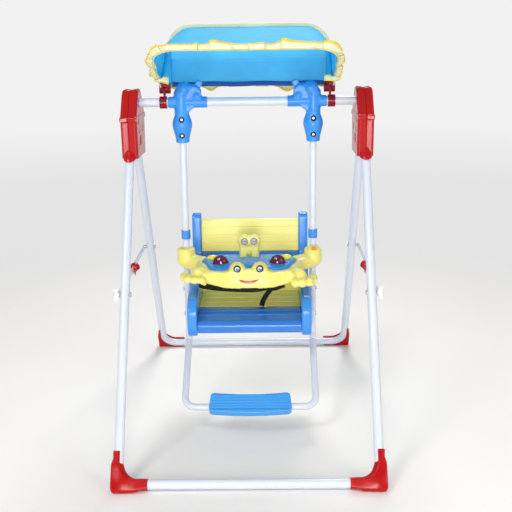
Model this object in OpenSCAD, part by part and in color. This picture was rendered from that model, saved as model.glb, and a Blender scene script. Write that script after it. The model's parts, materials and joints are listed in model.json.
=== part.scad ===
// Baby swing: folding A-frame, canopy and a moulded seat with a crab-shaped tray.
// X runs across the swing, the front faces -Y and the floor is z = 0.

/* [Stand] */
// Distance between the centre lines of the left and right legs
leg_spacing = 654; // [600:1:760]
// Outside diameter of the leg tubes and the crossbar
tube_d = 25; // [22:0.5:30]
// Wall of the steel tubes
tube_wall = 1.2; // [1:0.1:2]
// Height at which the lines of the front and rear legs meet
apex_z = 895; // [888:1:905]
// Distance between the two floor bars
base_depth = 1036; // [1000:2:1080]
// Bend radius of the leg tubes at the floor, on the centre line
bend_r = 48; // [44:1:60]
// Height of the crossbar's centre above the floor
bar_z = 918; // [905:1:930]
// Height at which the legs end inside the top housings
leg_top_z = 865; // [855:1:868]
// Height of the pivot of the rear legs
pivot_z = 845; // [840:1:848]
// Angle that the rear frame folds through
fold_angle = 56; // [40:1:58]

/* [Feet] */
// Thickness of plastic under the floor bars
sole = 3; // [2:0.5:6]
// Wall of the foot outside the tube
foot_wall = 3; // [2.5:0.5:5]
// Length of the foot up the leg
foot_rise = 84; // [76:1:110]
// Length of the foot along the floor bar
foot_reach = 76; // [72:1:110]

/* [Top housings] */
// Height of the bottom edge of the housing
housing_low_z = 770; // [755:1:785]
// Height of the top of the housing
housing_top_z = 957; // [948:1:975]
// Half the depth of the housing at its bottom edge
housing_low_y = 78; // [74:1:90]
// Half the depth of the housing at its raised band
housing_band_y = 92; // [86:1:104]
// Half the depth of the housing at its top
housing_top_y = 26; // [20:1:40]
// Height of the raised band
band_z = 872; // [868:1:880]
// Width of the raised band
band_h = 13; // [8:1:18]
// Plastic between the leg and the inner face
inner_cheek = 12; // [9:0.5:16]
// Plastic between the leg and the outer face
outer_cheek = 8.5; // [7:0.5:12]

/* [Side braces] */
// Height of the brace bolts
brace_z = 436; // [400:2:480]
// Height of a brace link
link_h = 16; // [14:1:22]
// Thickness of a brace link
link_t = 3; // [2:0.5:4]
// Diameter of the brace bolts
brace_bolt_d = 6; // [5:0.5:8]
// Size of the red lock at the middle of a brace
lock_size = 25; // [22:1:32]
// Wall of the lock
lock_wall = 1.6; // [1.2:0.1:2.4]

/* [Hangers] */
// Distance between the centre lines of the two hanging tubes
hang_spacing = 370; // [356:1:380]
// Outside diameter of the hanging tubes
hang_d = 19.5; // [18:0.5:22]
// Wall of the hanger's sleeve round the crossbar
sleeve_wall = 3.4; // [3:0.2:5]
// Reach of the sleeve from the hanging tube towards the middle
sleeve_in = 73; // [66:1:80]
// Reach of the sleeve from the hanging tube outwards
sleeve_out = 38; // [34:1:39]
// Half the depth of the moulded hanger
hanger_half = 19; // [18:0.5:24]
// Drop from the crossbar to the bottom of the hanger
hanger_drop = 113; // [105:1:125]
// Height of the hanger above the crossbar's centre
hanger_rise = 58; // [50:1:64]

/* [Hanging frame] */
// Height of the joint between the upper and lower hanging tubes
joint_z = 537; // [530:1:560]
// Height of the joint collars
collar_h = 25; // [20:1:32]
// Wall of the joint collars
collar_wall = 3.6; // [3:0.2:5]
// Height at which the lower tube turns forward
knee_z = 222; // [200:1:240]
// Height of the footrest bar's centre
foot_bar_z = 86; // [76:1:100]
// Distance of the footrest bar in front of the crossbar
foot_bar_y = 212; // [190:2:240]
// Bend radius at the knee, on the centre line
knee_r = 60; // [50:1:80]
// Bend radius of the footrest bar's corners, on the centre line
toe_r = 32; // [26:1:44]
// Half the width of the footrest
footrest_half = 118; // [90:1:135]
// Depth of the footrest plate
footrest_depth = 66; // [56:1:80]
// How far the footrest plate reaches further behind its bar than ahead of it
footrest_shift = 6; // [0:1:12]

/* [Seat] */
// Thickness of the moulded seat sides
side_t = 28; // [24:0.5:30]
// Gap between a hanging tube and the seat side
side_gap = 0.8; // [0.4:0.1:2]
// Height of the seat's surface
seat_z = 335; // [330:1:342]
// Height of the top of the back posts
post_top_z = 578; // [565:1:600]
// Distance of the back of the seat behind the crossbar
back_y = 128; // [120:1:140]
// Distance of the front of the seat ahead of the crossbar
front_y = 172; // [165:1:180]
// Thickness of the seat and back panels
panel_t = 14; // [10:0.5:18]
// Height of the line between the two back panels
split_z = 461; // [450:1:480]
// Height of the top of the upper back panel
back_top_z = 560; // [550:1:562]
// Place of the line between the rear and front seat panels, ahead of the crossbar
pan_split_y = 64; // [50:1:80]

/* [Tray] */
// Height of the tray's rim
tray_z = 470; // [466:1:480]
// Height of the tray's lower edge
tray_low_z = 430; // [426:1:438]
// Gap between the tray's body and the round end of an arm
arm_neck = 7; // [4:1:10]
// Distance of the tray's front edge ahead of the crossbar
tray_front_y = 192; // [180:1:200]
// Distance of the tray's rear edge behind the crossbar
tray_back_y = 20; // [14:1:24]
// Wall of the moulded tray
tray_wall = 3; // [2.5:0.5:4]
// Radius of the arms round the hanging tubes
arm_r = 26; // [24:0.5:28]
// Height of the top of the left arm
arm_top_z = 499; // [494:1:508]
// Angle that the tray swings open
gate_angle = 35; // [20:1:36]
// Travel of the tray's push buttons
push_travel = 3; // [2:0.5:4]
// Travel of the latch button
latch_travel = 4; // [3:0.5:5]

/* [Canopy] */
// Gap between a hanger's sleeve and a canopy clamp
clamp_gap = 3; // [2:0.5:6]
// Width of a canopy clamp
clamp_w = 20; // [18:0.5:22]
// Height of the canopy's pivot above the crossbar's centre
canopy_pivot_up = 38; // [34:1:44]
// Gap between a canopy clamp and the cloth
cloth_gap = 3; // [2.5:0.5:6]
// Distance of the canopy's front edge ahead of the crossbar
canopy_front_y = 220; // [200:2:260]
// Height of the canopy's front edge above its pivot
canopy_front_up = 114; // [100:2:130]
// Distance of the canopy's rear panel behind the crossbar
canopy_rear_y = 320; // [290:2:340]
// Height of the top of the canopy's rear arch above its front edge
canopy_rear_up = 61; // [50:1:75]
// Drop from the canopy's pivot to the rear panel's hem
hem_drop = 10; // [0:1:20]
// Height of the front edge's low ends along the front edge, from the pivot
canopy_low = 26; // [20:1:34]
// Thickness of the canopy's cloth solid
cloth_t = 2.5; // [2:0.5:4]
// Diameter of the canopy's wire bows
wire_d = 5; // [4:0.5:6]

/* [Hidden] */
$fn = 48;
eps = 0.01;
// Clearance of a seat between two fixed pieces
seat_gap = 0.3;
// Clearance of a shaft in its bore, on the radius
run_gap = 0.07;
leg_x = leg_spacing / 2;
tube_r = tube_d / 2;
hang_x = hang_spacing / 2;
hang_r = hang_d / 2;
base_y = base_depth / 2;
floor_bar_z = sole + tube_r;
// Angle of each leg from the vertical
splay = atan(base_y / (apex_z - floor_bar_z));
leg_len = (leg_top_z - floor_bar_z) / cos(splay);
pivot_y = leg_y(pivot_z);
pivot_bolt_r = 4;
fix_bolt_r = 3;
fix_bolt_z = [802, 842];
inner_face = leg_x - tube_r - inner_cheek;
outer_face = leg_x + tube_r + outer_cheek;
brace_y = leg_y(brace_z);
plane_a = leg_x + tube_r + 0.5 + lock_wall;
plane_b = plane_a + link_t + seat_gap;
side_outer = hang_x - hang_r - side_gap;
side_inner = side_outer - side_t;
panel_half = side_inner - seat_gap;
rib_t = 3;
hanger_screw_z = [66 - hanger_drop, 21 - hanger_drop];
clamp_x = hang_x + sleeve_out + clamp_gap;
canopy_half = clamp_x + clamp_w + cloth_gap;
canopy_pivot_z = bar_z + canopy_pivot_up;
canopy_front_z = canopy_pivot_z + canopy_front_up;
canopy_rear_z = canopy_front_z + canopy_rear_up;
hem_z = canopy_pivot_z - hem_drop;
canopy_slope = canopy_rear_up / (canopy_rear_y + canopy_front_y);
front_corner_r = 70;
rear_corner_r = 84;
tongue_x = clamp_x + 6;
tongue_t = 6;
// Distance from the canopy's pivot to the end of a bow
bow_end = 5;
bow_x = canopy_half - cloth_t - wire_d;
// Top bars of the two bows: distance from the crossbar and height
front_bow_at = bow_under_cloth(-canopy_front_y, 1);
rear_bow_at = bow_under_cloth(canopy_rear_y, -1);
// Angle of the lower tube's forward part from the vertical
knee_angle = atan(foot_bar_y / (knee_z - foot_bar_z));
slant = norm([foot_bar_y, knee_z - foot_bar_z]);
seat_bolt_r = 3;
seat_bolt_z = [seat_z - 40, seat_z + 37];
belt_slot_x = 70;
belt_z = seat_z + 63;
belt_h = 26;
belt_t = 2.5;
// Place of the belt at the seat sides, and how far its middle bows forward
belt_end_y = -50;
belt_bow = 62;
insert_t = 8;
tray_half = hang_x - arm_r - arm_neck;
insert_half = tray_half - 14;
arm_y = -8;
latch_y = arm_y - 17;
bump_x = 31;
bump_r = 24;
bump_y = bump_r + 1 - tray_front_y;
eye_r = 10;
// Depth of an eye's seat below the crown of its bump
eye_seat = 2.8;
dome_x = insert_half - 57;
dome_y = -92;
dome_a = 23;
dome_b = 15;
push_x = insert_half - 31;
push_y = -48;
push_a = 14;
push_b = 9;
stalk_x = 17;
stalk_y = -26;
stalk_r = 12.5;

steel_white = "#f2f4fa";
plastic_red = "#c81e1e";
plastic_dark_red = "#961928";
plastic_blue = "#5a9be9";
plastic_deep_blue = "#3f83d6";
plastic_yellow = "#faf5a0";
panel_yellow = "#ebe482";
cloth_blue = "#54b4f0";
webbing_black = "#1e1e23";
lens_purple = [0.43, 0.12, 0.24, 0.8];
button_yellow = "#f5eb32";
button_orange = "#f09628";
screw_steel = "#b4b8c0";

// ---------------------------------------------------------------- helpers

// Centre line of a rear leg: distance behind the crossbar at height z
function leg_y(z) = (apex_z - z) * tan(splay);

function unit(v) = v / norm(v);

function turned(v, a) = [v.x * cos(a) - v.y * sin(a), v.x * sin(a) + v.y * cos(a)];

// Arc that rounds the corner p1 between p0 and p2
function corner_arc(p0, p1, p2, r, n) =
    let (a = unit(p0 - p1))
    let (b = unit(p2 - p1))
    let (half = acos(a * b) / 2)
    let (centre = p1 + unit(a + b) * r / sin(half))
    let (start = p1 + a * r / tan(half) - centre)
    let (way = a.x * b.y - a.y * b.x > 0 ? -1 : 1)
    [for (i = [0:n]) centre + turned(start, way * (180 - 2 * half) * i / n)];

// Outline through points [x, y, corner radius]
function rounded(pts, n = 5) =
    let (m = len(pts))
    let (xy = [for (p = pts) [p[0], p[1]]])
    [for (i = [0:m - 1])
        each (pts[i][2] == 0
            ? [xy[i]]
            : corner_arc(xy[(i + m - 1) % m], xy[i], xy[(i + 1) % m], pts[i][2], n))];

// Closed superellipse
function oval(a, b, power = 2, n = 48) =
    [for (i = [0:n - 1])
        let (t = 360 * i / n)
        [a * sign(cos(t)) * pow(abs(cos(t)), 2 / power),
         b * sign(sin(t)) * pow(abs(sin(t)), 2 / power)]];

module side(s) {
    if (s > 0) children();
    else mirror([1, 0, 0]) children();
}

module both_sides() {
    for (s = [-1, 1]) side(s) children();
}

module fore_and_aft(s) {
    if (s > 0) children();
    else mirror([0, 1, 0]) children();
}

// Cylinder along X from x0 to x1
module rod_x(x0, x1, r) {
    translate([x0, 0, 0]) rotate([0, 90, 0]) cylinder(h = x1 - x0, r = r);
}

// Prism along X of an outline in Y and Z
module prism_x(x0, x1, pts) {
    translate([x0, 0, 0]) rotate([90, 0, 90]) linear_extrude(x1 - x0) polygon(pts);
}

// Prism along Y of an outline in X and Z
module prism_y(y0, y1, pts) {
    translate([0, y1, 0]) rotate([90, 0, 0]) linear_extrude(y1 - y0) polygon(pts);
}

// Bent rod: turns through angle at the given bend radius, from +X towards +Y
module bend(bend_radius, r, angle) {
    rotate_extrude(angle = angle) translate([bend_radius, 0]) circle(r = r);
}

// Solid rod along an arch: a bar at z = 0, two bends and two straight legs up to z = length
module arch_run(half, bend_radius, length, r, over = 0) {
    straight = half - bend_radius;
    rod_x(-straight, straight, r);
    both_sides() {
        translate([half, 0, bend_radius]) cylinder(h = length - bend_radius + over, r = r);
        translate([straight, 0, bend_radius]) rotate([-90, 0, 0]) bend(bend_radius, r, 90);
    }
}

// ------------------------------------------------------------------ stand

// Places the plane of the front leg frame: local Z runs up the legs
module front_plane() {
    translate([0, -base_y, floor_bar_z]) rotate([-splay, 0, 0]) children();
}

// Solid rod along one leg frame: leg, bend, floor bar, bend, leg
module leg_run(r, over = 0) {
    arch_run(leg_x, bend_r, leg_len, r, over);
}

module leg_tube() {
    difference() {
        leg_run(tube_r);
        leg_run(tube_r - tube_wall, 1);
    }
}

// Holes for the bolts of a leg, at heights zs
module leg_bolt_holes(zs, r) {
    for (z = zs)
        translate([0, -leg_y(z), z]) rod_x(-leg_x - tube_d, leg_x + tube_d, r);
}

module front_leg_tube() {
    color(steel_white) difference() {
        front_plane() leg_tube();
        leg_bolt_holes(fix_bolt_z, fix_bolt_r + seat_gap / 2);
        leg_bolt_holes([brace_z], brace_bolt_d / 2 + run_gap);
    }
}

module rear_leg_tube() {
    color(steel_white) mirror([0, 1, 0]) difference() {
        front_plane() leg_tube();
        leg_bolt_holes([pivot_z], pivot_bolt_r + run_gap);
        leg_bolt_holes([brace_z], brace_bolt_d / 2 + run_gap);
    }
}

module crossbar() {
    reach = leg_x + tube_r - 3;
    color(steel_white) translate([0, 0, bar_z]) difference() {
        rod_x(-reach, reach, tube_r);
        rod_x(-reach - 1, reach + 1, tube_r - tube_wall);
    }
}

// Outline of a foot in the plane of the legs: x runs inwards from the leg's centre line, y up it
function foot_outline() =
    let (out = tube_r + foot_wall + 2)
    let (deep = -2 * tube_r - 8)
    rounded([
        [-tube_r - 0.5, foot_rise + 5, 0], [5, foot_rise + 5, 0], [5, tube_r, bend_r - 6],
        [foot_reach, tube_r, 3], [foot_reach, -tube_r + 3, 3], [foot_reach - 20, -tube_r - 1, 8],
        [foot_reach - 60, deep, 8], [-tube_r + 6, deep, 0], [-out, -tube_r + 2, 5],
        [-out, foot_rise - 34, 10], [-tube_r - 0.5, foot_rise - 22, 10]
    ], 6);

// Side profile of a foot: y runs from its closed face to its open face, z up the leg
function foot_profile() =
    let (face = tube_r + foot_wall)
    let (back = tube_r + 1)
    rounded([
        [-face, floor_line(-face), 9], [back, floor_line(back), 3], [back, foot_rise - 4, 2],
        [-tube_r - 1.5, foot_rise, 2], [-face, foot_rise - 30, 20]
    ], 5);

// Where the floor cuts the plane of the legs, y in front of or behind its centre
function floor_line(y) = (y * sin(splay) - floor_bar_z) / cos(splay);

// Boot over the bend of a leg: a closed cover, with a lip that grips the outer side of the tube
module foot(s, front) {
    grip = 6;
    far = 2 * foot_rise;
    color(plastic_red) fore_and_aft(front) side(s) front_plane() difference() {
        translate([leg_x, 0, 0]) mirror([1, 0, 0]) difference() {
            intersection() {
                prism_x(-far, far, foot_profile());
                prism_y(-3 * tube_r, 3 * tube_r, foot_outline());
            }
            prism_y(0, far, rounded([
                [-grip, far, 0], [-grip, -grip, bend_r + grip], [far, -grip, 0], [far, far, 0]
            ], 8));
        }
        leg_run(tube_r + seat_gap);
    }
}

module front_foot_left() { foot(-1, 1); }
module front_foot_right() { foot(1, 1); }
module rear_foot_left() { foot(-1, -1); }
module rear_foot_right() { foot(1, -1); }

// ----------------------------------------------------------- top housings

// Side outline of the housing, drawn in by inset
function housing_outline(inset) =
    let (low = housing_low_z)
    rounded([
        [-housing_low_y + inset, low, 2],
        [housing_low_y - inset, low, 2],
        [housing_band_y - 8 - inset, band_z, 0],
        [housing_band_y - 8 - inset, band_z + band_h, 6],
        [housing_top_y + 14 - inset, housing_top_z - 16, 12],
        [housing_top_y - inset, housing_top_z - inset, 6],
        [-housing_top_y + inset, housing_top_z - inset, 6],
        [-housing_top_y - 14 + inset, housing_top_z - 16, 12],
        [-housing_band_y + 8 + inset, band_z + band_h, 6],
        [-housing_band_y + 8 + inset, band_z, 0]
    ], 3);

function band_outline(inset) = [
    [-housing_band_y + inset, band_z], [housing_band_y - inset, band_z],
    [housing_band_y - inset, band_z + band_h - 3], [housing_band_y - 3 - inset, band_z + band_h],
    [-housing_band_y + 3 + inset, band_z + band_h], [-housing_band_y + inset, band_z + band_h - 3]
];

// Space that a rear leg sweeps as the frame folds
module fold_sweep() {
    reach = pivot_z - housing_low_z + 40;
    slack = 1;
    half = tube_r + slack;
    stub = norm([tube_r, (leg_top_z - pivot_z) / cos(splay)]) + slack;
    folded = splay - fold_angle - 1;
    start = [pivot_y, pivot_z];
    open_side = start + half * [cos(splay), sin(splay)];
    shut_side = start - half * [cos(folded), sin(folded)];
    translate([leg_x - half, 0, 0]) {
        prism_x(0, 2 * half, [
            start, open_side, open_side + reach * 1.4 * [sin(splay), -cos(splay)],
            shut_side + reach * 1.4 * [sin(folded), -cos(folded)], shut_side
        ]);
        translate([0, pivot_y, pivot_z]) rod_x(0, 2 * half, stub);
    }
}

// Housing as one block, before it is cut into its two shells
module housing_block() {
    soft = 6;
    difference() {
        union() {
            hull() {
                prism_x(inner_face + soft, outer_face - soft, housing_outline(0));
                prism_x(inner_face, outer_face, housing_outline(soft));
            }
            prism_x(inner_face - 1, outer_face + 0.5, band_outline(0));
        }
        fold_sweep();
        front_plane() translate([leg_x, 0, leg_len / 2])
            cylinder(h = leg_len / 2 + 1, r = tube_r + seat_gap);
        translate([0, 0, bar_z]) rod_x(0, leg_x + tube_r - 2, tube_r + seat_gap);
        translate([leg_x, 0, housing_low_z - eps]) arch_cut();
        housing_bolt_cuts();
        seam_grooves();
    }
}

// Rounded arches over the legs in the lower edge
module arch_cut() {
    arch_r = tube_r + 3.5;
    for (s = [-1, 1])
        fore_and_aft(s) translate([0, -housing_low_y - 4, 0]) rotate([-splay, 0, 0])
            cylinder(h = 22, r = arch_r, center = true);
}

module housing_bolt_cuts() {
    translate([0, pivot_y, pivot_z]) {
        rod_x(0, outer_face + 1, pivot_bolt_r + seat_gap / 2);
        rod_x(outer_face - 5, outer_face + 1, 2 * pivot_bolt_r + seat_gap);
        rod_x(inner_face - 2, inner_face + 5, 2 * pivot_bolt_r + seat_gap);
    }
    for (z = fix_bolt_z)
        translate([0, -leg_y(z), z]) {
            rod_x(0, outer_face + 1, fix_bolt_r + seat_gap / 2);
            rod_x(outer_face - 4, outer_face + 1, 2 * fix_bolt_r + seat_gap);
            rod_x(inner_face - 2, inner_face + 4, 2 * fix_bolt_r + seat_gap);
        }
}

// Cross section of the shallow V where the two shells meet, x across it and y outwards
function seam_section() =
    let (half = 19)
    let (depth = 3.5)
    [[-half, eps], [0, -depth], [half, eps], [half, 10], [-half, 10]];

// Shallow V down the front and rear faces and over the top
module seam_grooves() {
    edge = housing_band_y - 8;
    shoulder = [housing_top_y + 14, housing_top_z - 16];
    for (s = [-1, 1]) fore_and_aft(s) {
        face_groove([housing_low_y, housing_low_z], [edge, band_z - 0.5]);
        face_groove([housing_band_y, band_z - 0.5], [housing_band_y, band_z + band_h]);
        face_groove([edge, band_z + band_h + 0.5], shoulder);
        face_groove(shoulder, [housing_top_y, housing_top_z]);
    }
    translate([leg_x, 0, housing_top_z]) prism_y(-housing_top_y, housing_top_y, seam_section());
}

// V groove up a face between two points in Y and Z
module face_groove(from, to) {
    way = to - from;
    translate([leg_x, from.x, from.y]) rotate([-atan2(way.x, way.y), 0, 0])
        linear_extrude(norm(way)) polygon(seam_section());
}

module housing_half(s, outer) {
    depth = 4 * housing_band_y;
    height = 2 * (housing_top_z - housing_low_z);
    x0 = outer ? leg_x : leg_x - 100;
    color(plastic_red) side(s) intersection() {
        housing_block();
        translate([x0, -depth / 2, housing_low_z - 50]) cube([100, depth, height]);
    }
}

// Moulded recesses in the inner face
module inner_recesses() {
    depth = 3;
    x0 = inner_face - depth;
    prism_x(x0, inner_face + depth, rounded([
        [-58, band_z - 9, 4], [-44, band_z - 9, 4], [-36, band_z + 6, 4], [-50, band_z + 6, 4]
    ]));
    prism_x(x0, inner_face + depth, rounded([
        [-34, housing_low_z + 34, 6], [-6, housing_low_z + 34, 6],
        [-2, housing_low_z + 58, 6], [-24, housing_low_z + 58, 6]
    ]));
}

module housing_inner(s) {
    color(plastic_red) difference() {
        housing_half(s, false);
        side(s) inner_recesses();
    }
}

module housing_outer_left() { housing_half(-1, true); }
module housing_outer_right() { housing_half(1, true); }
module housing_inner_left() { housing_inner(-1); }
module housing_inner_right() { housing_inner(1); }

// Bolt through a leg: a shank with a domed head outside and a nut inside
module through_bolt(x0, x1, r) {
    head = 0.9 * r;
    rod_x(x0, x1, r);
    translate([x1 - head, 0, 0]) rod_x(0, head, 1.9 * r);
    translate([x0, 0, 0]) rotate([0, 90, 0]) cylinder(h = head, r = 1.9 * r, $fn = 6);
}

module leg_pivot_bolts() {
    color(screw_steel) both_sides() translate([0, pivot_y, pivot_z])
        through_bolt(inner_face + 1, outer_face - 1, pivot_bolt_r);
}

module leg_fixing_bolts() {
    color(screw_steel) both_sides() for (z = fix_bolt_z)
        translate([0, -leg_y(z), z])
            through_bolt(inner_face + 1, outer_face - 1, fix_bolt_r);
}

// ------------------------------------------------------------ side braces

// Flat link with round ends from the bolt at y = 0 to the lock at y = length
module brace_link(x0, length, eye_r) {
    end_r = link_h / 2;
    difference() {
        union() {
            translate([x0, 0, -end_r]) cube([link_t, length, link_h]);
            for (y = [0, length]) translate([0, y, 0]) rod_x(x0, x0 + link_t, end_r);
        }
        for (y = [0, length]) translate([0, y, 0]) rod_x(x0 - 1, x0 + link_t + 1, eye_r);
    }
}

module brace_link_front(s) {
    color(steel_white) side(s) translate([0, -brace_y, brace_z])
        brace_link(plane_a, brace_y, brace_bolt_d / 2 + run_gap);
}

module brace_link_rear(s) {
    color(steel_white) side(s) translate([0, brace_y, brace_z]) mirror([0, 1, 0])
        brace_link(plane_b, brace_y, brace_bolt_d / 2 + run_gap);
}

module brace_link_front_left() { brace_link_front(-1); }
module brace_link_front_right() { brace_link_front(1); }
module brace_link_rear_left() { brace_link_rear(-1); }
module brace_link_rear_right() { brace_link_rear(1); }

// Outline of the lock: a square with a pointed thumb tip below
function lock_outline() =
    let (h = lock_size / 2)
    rounded([[-h, h, 4], [-h, -h + 3, 4], [0, -h - 7, 3], [h, -h + 3, 4], [h, h, 4]], 3);

// Half of a lock, folded over one link: cheek plus a rim round the link
module lock_half(x0, x1, link_x0, link_way) {
    end_r = link_h / 2 + seat_gap;
    difference() {
        prism_x(x0, x1, lock_outline());
        translate([link_x0 - eps, 0, 0]) {
            rod_x(-seat_gap, link_t + seat_gap, end_r);
            translate([-seat_gap, min(0, link_way * lock_size), -end_r])
                cube([link_t + 2 * seat_gap, lock_size, 2 * end_r]);
        }
    }
}

module brace_locks_inner() {
    color(plastic_red) both_sides() translate([0, 0, brace_z]) {
        lock_half(plane_a - seat_gap - lock_wall, plane_a + link_t, plane_a, -1);
        rod_x(plane_a - seat_gap - eps, plane_a + link_t, brace_bolt_d / 2);
    }
}

module brace_locks_outer() {
    color(plastic_red) both_sides() translate([0, 0, brace_z]) {
        lock_half(plane_b, plane_b + link_t + seat_gap + lock_wall, plane_b, 1);
        rod_x(plane_b, plane_b + link_t + seat_gap + eps, brace_bolt_d / 2);
    }
}

module brace_bolts_front() {
    r = brace_bolt_d / 2;
    color(screw_steel) both_sides() translate([0, -brace_y, brace_z]) {
        rod_x(leg_x - tube_r - 4, plane_b + 12, r);
        rod_x(leg_x - tube_r - 4, leg_x - tube_r - 0.4, 2 * r);
        rod_x(leg_x + tube_r + 0.4, plane_a - seat_gap, 2 * r);
    }
}

module brace_bolts_rear() {
    r = brace_bolt_d / 2;
    color(screw_steel) both_sides() translate([0, brace_y, brace_z]) {
        rod_x(leg_x - tube_r - 4, plane_b + link_t + 4, r);
        rod_x(leg_x - tube_r - 4, leg_x - tube_r - 0.4, 2 * r);
        rod_x(leg_x + tube_r + 0.4, plane_b - seat_gap, 2 * r);
        rod_x(plane_b + link_t + seat_gap, plane_b + link_t + 4, 2 * r);
    }
}

module wing_nut(s) {
    x0 = plane_a + link_t + seat_gap;
    boss = 9;
    wing = 17;
    color(steel_white) side(s) translate([0, -brace_y, brace_z]) difference() {
        union() {
            rod_x(x0, x0 + boss, 7);
            for (a = [0, 180]) rotate([a, 0, 0])
                prism_y(-2, 2, rounded([
                    [x0 + 1, 4, 0], [x0 + boss - 1, 4, 0], [x0 + boss + 4, wing, 3],
                    [x0 + 2, wing, 3]
                ], 3));
        }
        rod_x(x0 - 1, x0 + boss + 1, brace_bolt_d / 2 + run_gap);
    }
}

module wing_nut_left() { wing_nut(-1); }
module wing_nut_right() { wing_nut(1); }

// ---------------------------------------------------------------- hangers

// Front outline of the flat web inside the upper hanger: x runs inwards from the hanging tube
function hanger_web() =
    rounded([
        [-14, -30, 4], [-18, 0, 8], [-18, 24, 10], [-10, 44, 8], [8, 52, 8], [30, 44, 6],
        [40, hanger_rise - 12, 2], [56, 34, 8], [54, 8, 4], [36, -14, 8], [16, -30, 4]
    ], 3);

// Square fin at the top of the hanger
module hanger_fin() {
    translate([50, 0, hanger_rise - 6]) rotate([0, 28, 0]) prism_y(-8, 8, rounded([
        [-9, -12, 2], [9, -12, 2], [9, 8, 3], [-9, 8, 3]
    ], 3));
}

// Radius of the bulb below the crossbar, by depth under the crossbar
function bulb_profile() = rounded([
    [0, -26, 0], [20.5, -26, 0], [20.5, -35, 10], [30, -60, 40], [19.5, -hanger_drop + 12, 14],
    [19.5, -hanger_drop + 2, 1.5], [18, -hanger_drop, 1], [0, -hanger_drop, 0]
], 8);

// Rounded lumps of the upper hanger: [x inwards, y, z from the crossbar, radius]
hanger_lumps = [[-1, 0, 22, 21], [7, 0, 36, 21.5], [28, 0, 36, 15], [43, -4, 17, 13.5], [43, 4, 17, 13.5]];

module hanger_body() {
    sleeve_r = tube_r + sleeve_wall;
    translate([0, 0, bar_z]) difference() {
        union() {
            translate([hang_x, 0, 0]) {
                mirror([1, 0, 0]) {
                    prism_y(-hanger_half + 5, hanger_half - 5, hanger_web());
                    hanger_fin();
                    for (lump = hanger_lumps)
                        translate([lump[0], lump[1], lump[2]]) sphere(r = lump[3]);
                }
                translate([1, 0, -34]) cylinder(h = 60, r = hanger_half + 1);
                rotate_extrude() polygon([for (p = bulb_profile()) [max(p.x, 0), p.y]]);
            }
            rod_x(hang_x - sleeve_in, hang_x + sleeve_out, sleeve_r);
        }
        rod_x(0, 2 * hang_x, tube_r + run_gap);
        translate([hang_x, 0, -hanger_drop - 1])
            cylinder(h = hanger_drop - tube_r - 8, r = hang_r + seat_gap);
        hanger_screw_holes();
    }
}

module at_hanger_screws() {
    for (z = hanger_screw_z) translate([hang_x, 0, z]) rotate([90, 0, 0]) children();
}

module hanger_screw_holes() {
    sink = 4.5;
    at_hanger_screws() {
        cylinder(h = 6 * hanger_half, r = 2 + seat_gap / 2, center = true);
        translate([0, 0, 16]) cylinder(h = 2 * hanger_half, r = sink);
        translate([0, 0, -16 - 2 * hanger_half]) cylinder(h = 2 * hanger_half, r = sink);
    }
}

module hanger_half(s, front) {
    deep = 200;
    y0 = front ? -deep : 0;
    color(plastic_blue) side(s) intersection() {
        hanger_body();
        translate([0, y0, bar_z - deep]) cube([hang_x + deep, deep, 2 * deep]);
    }
}

module hanger_front_left() { hanger_half(-1, true); }
module hanger_back_left() { hanger_half(-1, false); }
module hanger_front_right() { hanger_half(1, true); }
module hanger_back_right() { hanger_half(1, false); }

module hanger_screws() {
    color(screw_steel) both_sides() translate([0, 0, bar_z]) at_hanger_screws() {
        cylinder(h = 36, r = 2, center = true);
        translate([0, 0, 16.5]) cylinder(h = 2.5, r = 4);
        translate([0, 0, -18.5]) cylinder(h = 2.5, r = 4, $fn = 6);
    }
}

// --------------------------------------------------------- hanging frame

module hanging_tube(s) {
    top = bar_z - tube_r - 10;
    color(steel_white) side(s) difference() {
        translate([hang_x, 0, joint_z]) cylinder(h = top - joint_z, r = hang_r);
        translate([hang_x, 0, joint_z - 1]) cylinder(h = top - joint_z + 2, r = hang_r - tube_wall);
        translate([0, 0, bar_z]) at_hanger_screws()
            cylinder(h = 6 * hanger_half, r = 2 + seat_gap / 2, center = true);
    }
}

module hanging_tube_left() { hanging_tube(-1); }
module hanging_tube_right() { hanging_tube(1); }

module tube_collar(s) {
    color(plastic_blue) side(s) translate([hang_x, 0, joint_z]) difference() {
        cylinder(h = collar_h, r = hang_r + collar_wall, center = true);
        cylinder(h = collar_h + 2, r = hang_r + seat_gap, center = true);
    }
}

module tube_collar_left() { tube_collar(-1); }
module tube_collar_right() { tube_collar(1); }

// Centre line of a knee in Y and Z, from the upright to the forward part
function knee_points(n = 5) =
    let (turn = knee_r * tan(knee_angle / 2))
    [for (i = [0:n])
        let (a = knee_angle * i / n)
        [-knee_r * (1 - cos(a)), knee_z + turn - knee_r * sin(a)]];

// Knee as short straight lengths with a ball at each joint
module knee(r) {
    pts = knee_points();
    ball_r = r + 0.15;
    for (p = pts) translate([hang_x, p.x, p.y]) sphere(r = ball_r);
    for (i = [1:len(pts) - 1])
        let (way = pts[i - 1] - pts[i])
        translate([hang_x, pts[i].x, pts[i].y]) rotate([-atan2(way.x, way.y), 0, 0])
            cylinder(h = norm(way), r = r);
}

// Solid rod along the lower frame: footrest bar, corners, forward parts, knees and uprights
module lower_run(r, over = 0) {
    upright_z = knee_points()[0].y;
    translate([0, -foot_bar_y, foot_bar_z]) rotate([-knee_angle, 0, 0])
        arch_run(hang_x, toe_r, slant - knee_r * tan(knee_angle / 2), r);
    both_sides() {
        knee(r);
        translate([hang_x, 0, upright_z]) cylinder(h = joint_z - upright_z + over, r = r);
    }
}

module seat_bolt_holes() {
    for (z = seat_bolt_z)
        translate([0, 0, z]) rod_x(-hang_x - hang_d, hang_x + hang_d, seat_bolt_r + seat_gap / 2);
}

module lower_frame_tube() {
    color(steel_white) difference() {
        lower_run(hang_r);
        lower_run(hang_r - tube_wall, 1);
        seat_bolt_holes();
    }
}

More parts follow.
